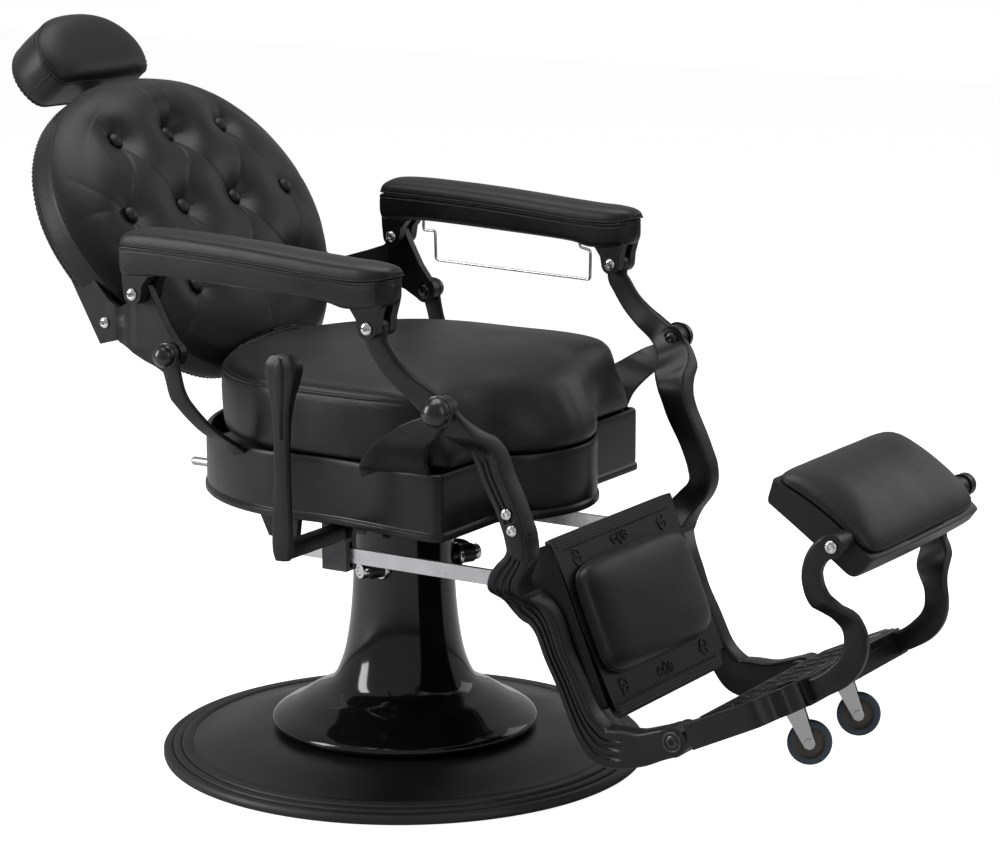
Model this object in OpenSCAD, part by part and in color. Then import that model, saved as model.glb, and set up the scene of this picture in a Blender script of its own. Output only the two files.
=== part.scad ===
// Hydraulic barber chair, shown reclined with its leg rest raised.
// Frame: millimetres, Z up, floor at Z = 0, column axis on Z.
// The sitter faces +X; the sitter's left is +Y.

/* [Base] */
// Diameter over the rubber rim
base_d = 660; // [560:5:760]
// Radial width of the rubber rim
rim_w = 40; // [30:1:55]
// Height of the rubber rim
rim_h = 20; // [14:1:28]
// Diameter of the skirt of the column cover
skirt_d = 362; // [300:2:400]
// Outer diameter of the column cover at the top
column_d = 137; // [130:1:150]
// Height of the top of the column cover
cover_top = 325; // [312:1:327]

/* [Lift] */
// Diameter of the piston ram
ram_d = 50; // [40:1:52]
// Height of the pump shaft above the floor
pump_z = 271; // [266:1:280]
// Offset of the pump shaft from the column axis
pump_off = 37.5; // [35:0.5:42]
// Direction of the pump shaft seen from above
pump_dir = 66.9; // [40:1:90]
// Half length of the pump shaft
pump_half = 85; // [80:1:100]
// Diameter of the pump shaft
pump_shaft_d = 16; // [12:1:16]
// Diameter of the rod of the pedal
pedal_rod_d = 9; // [7:0.5:11]

/* [Seat] */
// Height of the bottom edge of the apron
apron_z = 370; // [366:1:380]
// Height of the apron
apron_h = 86; // [76:1:100]
// Width of the apron at its waist
apron_w = 490; // [484:1:496]
// Wall of the apron
apron_t = 7; // [5:0.5:8]
// Distance of the front corners ahead of the column axis
apron_front = 222; // [216:1:228]
// Distance of the middle of the bowed front ahead of the column axis
apron_bow = 281; // [274:1:288]
// Height of the seat cushion above the apron, at its welt
cushion_h = 82; // [70:1:90]
// Height of the crown of the seat cushion over its welt
cushion_crown = 33; // [25:1:42]

/* [Linkage] */
// Rear seat pivot, ahead of the column axis
back_px = -156; // [-158:0.5:-154]
// Rear seat pivot, height
back_pz = 580.7; // [578:0.1:584]
// Front seat pivot, ahead of the column axis
leg_px = 253.4; // [251:0.1:256]
// Front seat pivot, height
leg_pz = 550; // [548:0.5:553]
// Rear armrest pin, measured from the rear seat pivot
rear_pin_dx = -46; // [-49:0.5:-43]
// Rear armrest pin, height over the rear seat pivot
rear_pin_dz = 76.4; // [74:0.1:79]
// Front armrest pin, measured from the front seat pivot
front_pin_dx = -92.5; // [-95:0.5:-90]
// Front armrest pin, height over the front seat pivot
front_pin_dz = 96.4; // [94:0.1:99]
// Distance of the centre plane of each armrest outside the apron
side_off = 52; // [50:0.5:55]
// Thickness of the cast arms over the seat
arm_t = 12; // [10:0.5:13]
// Thickness of the cast arms beside the calf plate
leg_t = 30; // [26:1:31]
// Diameter of the seat pivot pins
pivot_d = 16; // [12:1:18]
// Diameter of the armrest and footrest pins
pin_d = 10; // [8:0.5:11]
// Diameter of the ball knobs
knob_d = 38; // [32:1:42]

/* [Back] */
// Width of the round back
back_w = 526; // [508:2:528]
// Height of the round back along its slope
back_h = 447; // [436:1:456]
// Slope of the back from the vertical
back_tilt = 33.5; // [33:0.1:34]
// Depth of the back shell
shell_t = 45; // [38:1:56]
// Crown of the tufted cushion over its seam
tuft_crown = 50; // [40:1:56]
// Diameter of the buttons
button_d = 22; // [16:1:26]
// Width of the headrest
head_w = 216; // [190:2:240]
// Height of the headrest
head_h = 107; // [98:1:120]
// Depth of the headrest
head_t = 66; // [52:1:70]

/* [Leg rest] */
// Footrest hinge, ahead of the front seat pivot
foot_dx = 269.6; // [267:0.1:272]
// Footrest hinge, height over the front seat pivot
foot_dz = -403; // [-406:0.5:-400]
// Distance between the outer faces of the lower arms
leg_w = 390; // [386:1:394]
// Half width of the calf plate at mid height
calf_half = 152; // [140:1:158]
// Thickness of the calf plate
calf_t = 8; // [6:0.5:10]
// Thickness of the calf pad
calf_pad_t = 24; // [16:1:30]
// Footpad hinge, ahead of the footrest hinge
pad_dx = 209.4; // [206:0.5:212]
// Footpad hinge, height over the footrest hinge
pad_dz = 274.7; // [272:0.5:278]
// Width of the footpad
footpad_w = 316; // [300:2:318]
// Diameter of the caster wheels
wheel_d = 56; // [48:1:60]
// Width of the caster tyres
wheel_t = 18; // [14:1:20]
// Distance of each caster from the middle plane
caster_y = 70; // [60:1:90]

/* [Armrests] */
// Width of the armrest casing
rest_w = 58; // [56:1:64]
// Thickness of the arm pad at its middle
rest_pad_h = 24; // [16:1:28]

/* [Hidden] */
$fn = 64;

// clearances
run = 0.05;   // radial clearance of a running fit
gap = 0.3;    // side clearance between moving faces
soft = 0.3;   // clearance of a cushion from its seat

// pivots, as [x, z]
A = [back_px, back_pz];
D = [leg_px, leg_pz];
B = A + [rear_pin_dx, rear_pin_dz];
C = D + [front_pin_dx, front_pin_dz];
E = D + [foot_dx, foot_dz];
F = E + [pad_dx, pad_dz];
P = D + [50.6, -240];            // link bar pin on the leg frame

arm_y = apron_w / 2 + side_off;  // centre plane of the armrest clevises
front_y = arm_y - 8;             // centre plane of the front arms at the seat pivot
wing_y = arm_y - 1;              // centre plane of the back brackets at the seat pivot
ear_t = 7;                       // plate of the seat brackets at the pivots
slot_t = arm_t + 4;              // gap between the ears of a clevis
ear_out = 23;                    // half width of a clevis
low_out = leg_w / 2;             // outer face of the lower arms
low_in = low_out - leg_t;
lever_y = arm_y + rest_w / 2 + 8; // inner face of the recline lever
side_max = arm_y + 33;           // outside all the arms
foot_t = 14;                     // thickness of the foot arms
foot_in = low_out - foot_t;
mid_y = low_out + 40;            // centre plane of the arms at the calf
rim_top = apron_z + apron_h;
plate_z = apron_z + 4;           // underside of the seat frame plate
plate_t = 5;
board_z = rim_top - 24;          // underside of the seat board
board_t = 8;
head_top = 318;                  // top of the pump head
flange_z = 335;                  // underside of the ram flange

// ---- helpers -------------------------------------------------------------
function unit(v) = v / norm(v);
function perp(v) = [-v[1], v[0]];
function cr(a, b, c, d, t) = 0.5 * (2 * b + (c - a) * t + (2 * a - 5 * b + 4 * c - d) * t * t
  + (3 * b - a - 3 * c + d) * t * t * t);
// smooth curve through the points of an open or a closed list
function curve(q, n = 4) = [for (i = [0:len(q) - 2]) for (k = [0:n - 1])
  cr(q[max(i - 1, 0)], q[i], q[i + 1], q[min(i + 2, len(q) - 1)], k / n), q[len(q) - 1]];
function loop(q, n = 4) = let (m = len(q)) [for (i = [0:m - 1]) for (k = [0:n - 1])
  cr(q[(i + m - 1) % m], q[i], q[(i + 1) % m], q[(i + 2) % m], k / n)];
function xy(p) = [p[0], p[1]];
function nrm(q, i) = perp(unit(xy(q[min(i + 1, len(q) - 1)]) - xy(q[max(i - 1, 0)])));
// band along a path of [x, y, half width], from side a to side b, in half widths
function band(q, a = -1, b = 1, i0 = 0, i1 = -1) = let (e = i1 < 0 ? len(q) - 1 : i1)
  concat([for (i = [i0:e]) xy(q[i]) + nrm(q, i) * q[i][2] * a],
         [for (i = [e:-1:i0]) xy(q[i]) + nrm(q, i) * q[i][2] * b]);
// points at [share of the way from p to q, distance to its left, half width]
function along(p, q, l) = let (d = q - p, u = unit(d)) [for (e = l)
  concat(p + d * e[0] + perp(u) * e[1], [e[2]])];
// mirrored closed outline from its +Y half, front to rear
function both(h) = concat(h, [for (i = [len(h) - 1:-1:0]) if (h[i][1] > 0.01) [h[i][0], -h[i][1]]]);
function inset(q, d) = let (m = len(q)) [for (i = [0:m - 1])
  q[i] + perp(unit(q[(i + 1) % m] - q[(i + m - 1) % m])) * d];
// skin over rings of 3-D points, closed at both ends by a fan
function mix(a, b, t) = a + (b - a) * t;
function mean(v) = [for (i = [0:2]) let (c = [for (p = v) p[i]]) c * [for (x = c) 1 / len(c)]];
function rings_faces(n, m) = [
  for (k = [0:n - 1]) each [[n * m, (k + 1) % n, k], [n * m + 1, (m - 1) * n + k, (m - 1) * n + (k + 1) % n]],
  for (i = [0:m - 2]) for (k = [0:n - 1]) each [[i * n + k, i * n + (k + 1) % n, (i + 1) * n + (k + 1) % n],
    [i * n + k, (i + 1) * n + (k + 1) % n, (i + 1) * n + k]]];
module skin(rings) polyhedron(concat([for (r = rings) each r], [mean(rings[0]), mean(rings[len(rings) - 1])]),
  rings_faces(len(rings[0]), len(rings)), convexity = 6);

module xz(y0, y1) translate([0, y1, 0]) rotate([90, 0, 0]) linear_extrude(y1 - y0, convexity = 8) children();
module yz(x0, x1) translate([x0, 0, 0]) rotate([90, 0, 90]) linear_extrude(x1 - x0, convexity = 8) children();
module yrod(p, d, y0, y1) translate([p[0], y0, p[1]]) rotate([-90, 0, 0]) cylinder(d = d, h = y1 - y0);
module ycone(p, d0, d1, y0, y1) translate([p[0], y0, p[1]]) rotate([-90, 0, 0]) cylinder(d1 = d0, d2 = d1, h = y1 - y0);
module left(s) { if (s > 0) children(); else mirror([0, 1, 0]) children(); }
// rod between two points
module rod(a, b, d) { v = b - a; l = norm(v);
  translate(a) rotate([0, acos(v[2] / l), atan2(v[1], v[0])]) cylinder(d = d, h = l, $fn = 48); }
// bent rod of diameter d through points, with a round knuckle at each bend
module wire(q, d) {
  for (i = [0:len(q) - 2]) rod(q[i], q[i + 1], d);
  for (i = [1:len(q) - 2]) let (n = cross(q[i + 1] - q[i], q[i] - q[i - 1]))
    translate(q[i]) rotate([0, acos(n[2] / norm(n)), atan2(n[1], n[0])]) sphere(d = d * 1.12, $fn = 48);
}

// ---- base ----------------------------------------------------------------
base_r = base_d / 2;
plate_r = base_r - rim_w;
skirt_r = skirt_d / 2;
col_r = column_d / 2;

// domed plate, hollow underneath, with a hub under the pump that reaches the floor
base_t = 9;
function dome(t) = [plate_r - 2 + (skirt_r - 6 - plate_r + 2) * t, rim_h - 1 + 18 * pow(sin(90 * t), 1.25)];
module base_plate() color("#17181a") rotate_extrude($fn = 160) polygon(concat(
  [[0, 0], [58, 0], [60, 2], [60, rim_h + 19 - base_t]], [for (i = [8:-1:1]) dome(i / 8) - [0, base_t]],
  [[plate_r - 14, 2], [plate_r - 0.1, 2], [plate_r - 0.1, rim_h - 2]],
  [for (i = [0:8]) dome(i / 8)],
  [[60, rim_h + 19], [60, rim_h + 24], [0, rim_h + 24]]));

module base_rim() color("#101010") rotate_extrude($fn = 160) polygon(concat(
  [[plate_r, 0], [base_r - 4, 0], [base_r, 4], [base_r, 9]],
  [for (i = [0:2]) each let (x = base_r - 1 - i * (rim_w - 4) / 3, w = (rim_w - 4) / 3, z = 10 + i * (rim_h - 11) / 3, s = (rim_h - 11) / 3)
    [[x, z], [x - 1.2, z + s * 0.75], [x - w * 0.45, z + s], [x - w + 1, z + s], [x - w + 0.4, z + s - 1.6], [x - w, z + s - 1.6]]],
  [[plate_r, rim_h - 1]]));

cover_pts = curve([[skirt_r - 6, 40], [skirt_r - 0.5, 45], [skirt_r - 1, 51], [skirt_r - 10, 58],
  [col_r + 84, 68], [col_r + 62, 81.5], [col_r + 43, 91], [col_r + 29, 102], [col_r + 18.5, 123],
  [col_r + 11, 149], [col_r + 5, 188], [col_r + 1.5, 230], [col_r, 275], [col_r, cover_top]], 3);
module column_cover() color("#08080a") difference() {
  rotate_extrude($fn = 128) polygon(concat(cover_pts,
    [for (i = [len(cover_pts) - 1:-1:0]) [max(cover_pts[i][0] - 3 - (i < 12 ? 1.5 : 0), col_r - 3), cover_pts[i][1] - (i < 20 && i > 3 ? 2.5 : 0)]]));
  pump_axis() translate([0, 0, -120]) cylinder(d = 27, h = 240);
}
// places children on the pump shaft: local Z along it, origin at its middle
module pump_axis() rotate([0, 0, pump_dir]) translate([0, -pump_off, pump_z]) rotate([0, 90, 0]) children();

module pump_cylinder() color("#2b2d30") difference() {
  union() { translate([0, 0, rim_h + 24]) cylinder(d = 118, h = 10); translate([0, 0, rim_h + 34]) cylinder(d = 92, h = 262 - rim_h - 34); }
  translate([0, 0, rim_h + 40]) cylinder(d = ram_d + 12, h = 300);
}
module pump_head() color("#3a3c40") difference() {
  union() { translate([0, 0, 262]) cylinder(d = 122, h = 44); translate([0, 0, 306]) cylinder(d = 84, h = head_top - 306); }
  cylinder(d = ram_d + 2 * run, h = 600);
  pump_axis() translate([0, 0, -150]) cylinder(d = pump_shaft_d + 2 * run, h = 300);
}
module ram() color("silver") union() {
  translate([0, 0, 90]) cylinder(d = ram_d, h = flange_z - 90);
  translate([0, 0, flange_z]) cylinder(d = 96, h = 8);
  translate([0, 0, flange_z + 8]) cylinder(d = 40, h = 38);
}
module pump_shaft() color("#1c1c1e") pump_axis() {
  translate([0, 0, -pump_half]) cylinder(d = pump_shaft_d, h = 2 * pump_half);
  for (s = [0, 180]) rotate([s, 0, 0]) difference() {
    translate([0, 0, 58]) cylinder(d = 26, h = pump_half - 58);
    translate([0, 0, 40]) cylinder(d = pump_shaft_d, h = pump_half);
  }
}
// points of the pedal rod, in the pump shaft's horizontal frame: [out, along, down]
pedal = [[0, -1, 0], [-24, -1, 9], [-236, -0.78, -20], [-266, 0.14, -20], [-24, 1, 9], [0, 1, 0]];
function pedal_pt(p) = let (u = [cos(pump_dir), sin(pump_dir)], v = [-sin(pump_dir), cos(pump_dir)],
  c = u * (p[1] * (pump_half + 5)) + v * (-pump_off - p[0])) [c[0], c[1], pump_z + p[2]];
module pump_pedal() color("silver") union() {
  wire([for (p = pedal) pedal_pt(p)], pedal_rod_d);
  pump_axis() for (s = [0, 180]) rotate([s, 0, 0]) translate([0, 0, pump_half + gap]) cylinder(d = 22, h = 10);
}

// ---- seat ----------------------------------------------------------------
hw = apron_w / 2;
bow_r = 140; bow_x = apron_bow - bow_r; fil_r = 18;
fil_y = sqrt(pow(bow_r + fil_r, 2) - pow(apron_front + fil_r - bow_x, 2));
// plan of the apron, set in by d: bowed front, square corners, waisted sides, round rear
function side_y(x) = hw - 7 * cos((x - 45) * 180 / 155);
function apron_half(d) = let (t = atan2(fil_y, apron_front + fil_r - bow_x), rc = 12, yc = side_y(apron_front - rc) - rc) concat(
  [for (i = [0:5]) let (a = t * i / 5) [bow_x + (bow_r - d) * cos(a), (bow_r - d) * sin(a)]],
  [for (i = [1:3]) let (a = 180 + t - t * i / 3) [apron_front + fil_r + (fil_r + d) * cos(a), fil_y + (fil_r + d) * sin(a)]],
  [for (i = [0:3]) let (a = 90 * i / 3) [apron_front - rc + (rc - d) * cos(a), yc + (rc - d) * sin(a)]],
  [for (i = [1:8]) let (x = apron_front - rc - (apron_front - rc + 25) * i / 8) [x, side_y(x) - d]],
  [for (i = [1:9]) let (a = 90 + 90 * i / 9) [-25 + (hw - 1 - d) * cos(a), (hw - 1 - d) * sin(a)]]);
function apron_plan(d) = both(apron_half(d));

module seat_frame() color("#1a1b1d") {
  difference() {
    union() {
      intersection() {
        translate([0, 0, plate_z]) linear_extrude(plate_t) polygon(apron_plan(apron_t + 0.5));
        translate([-300, -300, 0]) cube([600, 600, 600]);
      }
      translate([0, 0, flange_z + 8.05]) cylinder(d = 110, h = plate_z - flange_z - 8.05);
    }
    cylinder(d = 40 + 2 * run, h = 600);
    for (x = [-170, 130]) for (s = [-1, 1]) translate([x - 45, s * 70 - 32, plate_z - 1]) cube([90, 64, plate_t + 2]);
  }
  for (s = [-1, 1]) translate([-200, s * 130 - 20, plate_z + plate_t]) difference() {
    cube([410, 40, board_z - plate_z - plate_t]);
    translate([-1, 5, 5]) cube([412, 30, board_z - plate_z - plate_t - 10]);
  }
  translate([0, 0, board_z]) intersection() {
    linear_extrude(board_t) polygon(apron_plan(apron_t + 1));
    translate([-205, -205, 0]) cube([420, 410, board_t]);
  }
}

module seat_apron() color("#141517") difference() {
  union() {
    translate([0, 0, apron_z]) linear_extrude(apron_h) polygon(apron_plan(0));
    translate([0, 0, apron_z]) linear_extrude(9) polygon(apron_plan(-2.5));
  }
  translate([0, 0, apron_z - 1]) linear_extrude(apron_h + 2) polygon(apron_plan(apron_t));
  for (s = [-1, 1]) {
    // seats of the front brackets and the rear arms
    translate([89, s * 300 - 100, rim_top - 25]) cube([apron_front - 89 - 5, 200, 50]);
    translate([-123, s * 300 - 110, rim_top - 36]) cube([42, 220, 60]);
  }
}

// plan of the seat cushion, set in by d: like the apron, with rounder corners and a shorter rear
cush_w = hw - 5; cush_r = 207;
function cush_half(d, rc = 26) = let (t = atan2(fil_y, apron_front + fil_r - bow_x), yc = cush_w - rc) concat(
  [for (i = [0:5]) let (a = t * i / 5) [bow_x + (bow_r - d) * cos(a), (bow_r - d) * sin(a)]],
  [for (i = [1:3]) let (a = 180 + t - t * i / 3) [apron_front + fil_r + (fil_r + d) * cos(a), fil_y + (fil_r + d) * sin(a)]],
  [for (i = [0:4]) let (a = 90 * i / 4) [apron_front - rc + (rc - d) * cos(a), yc + (rc - d) * sin(a)]],
  [for (i = [1:6]) [apron_front - rc - (apron_front - rc + 25) * i / 6, cush_w - d]],
  [for (i = [1:9]) let (a = 90 + 90 * i / 9) [-25 + (cush_r - d) * cos(a), (cush_w - d) * sin(a)]]);
// rings of the seat cushion: [inset, height over the rim]
seat_rings = [[45, -16 + soft], [45, 1], [7, 1.5], [1, 10], [-1, 36], [-2, 60], [-1, cushion_h - 4], [-4, cushion_h],
  [-4, cushion_h + 4], [5, cushion_h + 9]];
seat_caps = [[0.93, 0.42], [0.82, 0.66], [0.66, 0.85], [0.42, 0.97], [0.15, 1]];
module seat_cushion() color("#1b1b1c") difference() {
  seat_pillow();
  // hollow at the rear where the back comes down, through its whole recline
  for (a = [-13, -9, -5, 0, 5]) translate([A[0], 0, A[1]]) rotate([0, a, 0]) translate([-A[0], 0, -A[1]]) on_back()
    for (e = [[22, 1.015], [37, 0.92], [44, 0.8]]) translate([-shell_t - 4, 0, 0]) rotate([90, 0, 90])
      linear_extrude(shell_t + 4 + e[0]) polygon([for (p = back_ring(0, e[1])) [p[1], p[2]]]);
}
// the front rolls over: how far a point of the plan has gone back at height h over the rim
function roll(h) = let (t = max(0, min(1, (h - 15) / (cushion_h + cushion_crown - 15)))) 1 - pow(1 - pow(t, 2.2), 1 / 2.2);
function rolled(q, h) = [for (p = q) [p[0] - 88 * roll(h) * pow(max(0, (p[0] - 150) / 131), 1.4), p[1], rim_top + h]];
module seat_pillow() skin(concat(
  [for (r = seat_rings) rolled(both(cush_half(r[0], 26 + 30 * roll(r[1]))), r[1])],
  [for (c = seat_caps) let (h = cushion_h + 9 + (cushion_crown - 9) * c[1]) rolled([for (p = both(cush_half(5, 26 + 30 * roll(h)))) [10 + (p[0] - 10) * c[0], p[1] * c[0]]], h)]));

// front bracket: fan plate from the apron up to the front seat pivot
fan_y0 = front_y + arm_t / 2 + gap;      // inner face of its ear
fan_o = fan_y0 + ear_t / 2;
fan = [for (p = concat(
  curve([[-157.4, -101], [-148.4, -88], [-121.4, -64], [-87.4, -42], [-53.1, -21], [-26, -4]], 3),
  curve([[5, -20], [-11.4, -38], [-33, -57], [-47, -80], [-49.4, -101]], 3))) p + D];
module front_bracket(s) color("#161719") left(s) difference() {
  union() {
    intersection() {
      xz(hw - 55, side_max) polygon(concat(fan, [[D[0] - 45, plate_z + plate_t], [D[0] - 157.4, plate_z + plate_t]]));
      yz(0, 400) polygon(band(curve([[hw - 15, plate_z + plate_t - 1, ear_t / 2], [hw - 15, 420, ear_t / 2], for (e = [[0.044, 440], [0.262, 457], [0.538, 482], [0.814, 504]]) [mix(hw - 15, fan_o, e[0]), e[1], ear_t / 2],
        [fan_o - 2, 524, ear_t / 2], [fan_o, 536, ear_t / 2], [fan_o, 640, ear_t / 2]], 2)));
    }
    yrod(D, pivot_d + 20, fan_y0, fan_y0 + ear_t);
  }
  yrod(D, pivot_d, 100, 400);
}

// rear arm: crescent from the apron up to the rear seat pivot
rear_y0 = wing_y + arm_t / 2 + gap;
rear_o = rear_y0 + ear_t / 2;
module rear_arm(s) color("#161719") left(s) difference() {
  union() {
    intersection() {
      xz(hw - 55, side_max) polygon(band(curve(concat([for (p = [[0, 0, 15], [7, -27, 13], [13, -48, 13], [23, -66, 13], [32, -83, 13],
        [39, -98, 13], [47.5, -115, 13.5], [53, -131, 14]]) concat(A + [p[0], p[1]], [p[2]])], [[-102, 420, 14], [-102, plate_z + plate_t, 14]]), 2)));
      yz(-300, 0) polygon(band(curve([[hw - 31, plate_z + plate_t - 1, ear_t / 2], [hw - 31, 420, ear_t / 2], for (e = [[0.044, 436], [0.261, 452], [0.479, 466], [0.697, 482], [0.861, 500]]) [mix(hw - 31, rear_o, e[0]), e[1], ear_t / 2],
        [rear_o - 2, 520, ear_t / 2], [rear_o, 535, ear_t / 2], [rear_o, 640, ear_t / 2]], 2)));
    }
    yrod(A, pivot_d + 16, rear_y0, rear_y0 + ear_t);
  }
  yrod(A, pivot_d, 100, 400);
}

// pins of the four seat pivots, each with a ball knob outside and a screw head inside
module seat_pivots() color("#0b0b0c") for (s = [1, -1]) left(s) for (q = [[A, wing_y, 0.8], [D, front_y, 1]]) {
  kr = knob_d / 2 * q[2];
  x = q[0][0]; z = q[0][1]; yi = q[1] - arm_t / 2 - gap; ye = q[1] + arm_t / 2 + gap + ear_t + 0.15;
  yrod(q[0], pivot_d, yi, ye);
  translate([x, ye, z]) rotate([-90, 0, 0]) rotate_extrude($fn = 48) polygon(concat([[0, 0], [kr + 1.5, 0], [kr + 1, 1.5]],
    [for (i = [0:12]) let (a = -10 + 100 * i / 12) [max(kr * cos(a), 0), 5 + kr * sin(a)]]));
  translate([x, yi, z]) rotate([90, 0, 0]) rotate_extrude($fn = 32) polygon([[0, 0], [12, 0], [12, 1], [8.5, 1], [8.2, 2.6], [6.5, 3.6], [3, 4], [3, 1.8], [0, 1.8]]);
}

// ---- recline lock --------------------------------------------------------
link_y = low_in - 2;             // centre plane of the link bars
link_t = 6; link_h = 20;
lev = [42, 354];                 // axis of the recline lever
module lock_body() difference() {
  translate([-12, link_y - 12, P[1] - 20.5]) cube([38, 24, plate_z - P[1] + 20.5]);
  translate([-60, link_y - link_t / 2 - gap, P[1] - 16.5]) cube([140, link_t + 2 * gap, 40]);
}
module lock_right() color("#222326") difference() {
  union() {
    mirror([0, 1, 0]) lock_body();
    // ear for the end of the lever's shaft
    translate([25, -link_y - 12, lev[1] - 11]) cube([29, 8, plate_z - lev[1] + 11]);
  }
  yrod(lev, 12 + 2 * run, -link_y - 20, -link_y - 3.5);
}
module lock_left() color("#222326") lock_body();
// pull rod in its block at the rear of the seat
module pull_rod() color("silver") {
  translate([-190, -14, 348]) cube([30, 28, plate_z - 348]);
  translate([-352, 0, 361]) rotate([0, 90, 0]) cylinder(d = 12, h = 165);
  translate([-352, 0, 361]) sphere(d = 12.4, $fn = 32);
}
module lever_bracket() color("#1a1b1d") difference() {
  union() {
    xz(38 - hw, 48 - hw) polygon([[22, plate_z], [27, lev[1] - 13], [57, lev[1] - 13], [62, plate_z]]);
    // stop plate behind the lever
    xz(16 - hw, 26 - hw) polygon([[-75, plate_z], [-58, 340], [-26, 336], [-14, 343], [-10, plate_z]]);
  }
  yrod(lev, 18 + 2 * run, -220, -100);
}
module recline_lever() color("#1d1e20") {
  difference() {
    union() {
      xz(-lever_y - 9, -lever_y) polygon(band(curve([[44, 352, 19], [44, 372, 17.5], [44.5, 405, 14], [45, 440, 12], [45, 480, 11.5], [45.5, 520, 12], [46.5, 550, 14.5], [48, 572, 19.5], [49, 589, 23], [49.5, 600, 21], [50, 606, 13]], 3)));
      intersection() {
        xz(-lever_y - 16, 8 - lever_y) polygon(band(curve([[46, 538, 9], [46.5, 555, 13.5], [48, 574, 19], [49, 590, 22.5], [49.5, 601, 20.5], [50, 608, 11]], 3)));
        translate([48, -lever_y - 4, 578]) sphere(r = 46);
        translate([0, -lever_y, 0]) yz(0, 100) polygon([[-10, 532], [-16, 577], [-16, 598], [-12, 609], [4, 609], [8, 598], [8, 577], [1, 532]]);
      }
      // foot of the lever, turned in under the seat
      xz(-lever_y - 9, 36.5 - hw) polygon([for (q = [[-12, -7], [-9, -10.5], [9, -10.5], [12, -7], [12, 7], [9, 10.5], [-9, 10.5], [-12, 7]]) lev + q]);
    }
  }
  yrod(lev, 18, 36.4 - hw, 48.5 - hw);
  yrod(lev, 12, 48.4 - hw, -link_y - 4.5);
}

// ---- back ----------------------------------------------------------------
back_c = A + [-194, 137.3];    // middle of the back, on the seam of its cushion
module on_back() translate([back_c[0], 0, back_c[1]]) rotate([0, -back_tilt, 0]) children();
// in the back's frame: X square to it, Y across, Z up its slope; half outline from the bottom up
back_half = [[0, -240], [50, -238], [105, -228], [155, -201], [200, -156], [235, -102], [256, -50], [263, 5],
  [253, 58], [224, 113], [176, 160], [120, 189], [60, 203], [0, 207]];
back_mid = -16.5;
back_out = loop(both2([for (p = back_half) [p[0] * back_w / 526, back_mid + (p[1] - back_mid) * back_h / 447]]), 2);
function back_ring(x, k) = [for (p = back_out) [x, p[0] * k, back_mid + (p[1] - back_mid) * k]];
function back_k(y, z) = norm([y / (back_w / 2), (z - back_mid) / (back_h / 2)]);
tuft_y = [[-117, 0, 117], [-175, -58.5, 58.5, 175], [-117, 0, 117]];
tuft_z = [107, -5, -120];
tuft_n = [[25, 20, 25], [35, 30, 30, 35], [33, 28, 33]];   // seat of each button over the seam
buttons = [for (r = [0:2]) for (i = [0:len(tuft_y[r]) - 1]) [tuft_y[r][i], tuft_z[r], tuft_n[r][i]]];
function crown(k) = 1 - pow(k, 6);
function dip(y, z) = max([for (b = buttons) (tuft_crown * crown(back_k(b[0], b[1])) - b[2]) * exp(-pow(norm([y - b[0], z - b[1]]) / 32, 2))]);
function tuft(y, z, k) = tuft_crown * crown(k) - dip(y, z) * min(1, (1 - k) * 5);
module back_cushion() color("#1b1b1c") on_back() {
  ks = [0.985, 0.955, 0.91, 0.85, 0.77, 0.68, 0.585, 0.49, 0.39, 0.29, 0.19, 0.09];
  difference() {
    skin(concat([back_ring(soft, 0.96)], [back_ring(soft, 0.99)], [back_ring(1.2, 1)],
      [for (k = ks) [for (p = back_ring(0, k)) [tuft(p[1], p[2], k) + 0.6, p[1], p[2]]]]));
    // seats of the buttons
    for (b = buttons) translate([b[2] + 1 - soft, b[0], b[1]]) rotate([0, 90, 0]) cylinder(d = button_d + 2 * soft, h = 20, $fn = 24);
  }
}
module back_buttons() color("#161617") on_back() for (b = buttons) {
  translate([b[2] + 1, b[0], b[1]]) rotate([0, 90, 0]) rotate_extrude($fn = 24)
    polygon([[0, 0], [button_d / 2 - 3, 0], [button_d / 2, 2], [button_d / 2 - 1, 4], [button_d / 4 + 1, 6.4], [0, 7]]);
}
pad_c = back_c + [22.5, -87.8];   // middle of the bracket plate
pad_y = back_w / 2 - 13;          // outer face of the bracket plate
module on_pad(s) left(s) translate([pad_c[0], 0, pad_c[1]]) rotate([0, -29.6, 0]) children();
module back_shell() color("#141415") difference() {
  union() {
    for (e = [[-shell_t - 2, 2.02, 0.955], [-shell_t, 4.02, 0.98], [-shell_t + 4, 6.02, 0.992], [-shell_t + 10, shell_t - 10, 1]])
      on_back() translate([e[0], 0, 0]) rotate([90, 0, 90]) linear_extrude(e[1]) polygon([for (p = back_ring(0, e[2])) [p[1], p[2]]]);
    // blocks behind the brackets
    for (s = [-1, 1]) on_pad(s) translate([-13, 150, -52]) cube([28, pad_y - 158, 85]);
  }
  // flat seats of the brackets
  for (s = [-1, 1]) on_pad(s) translate([-19.5, pad_y - 8 - gap, -96]) cube([46, 50, 170]);
}
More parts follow.
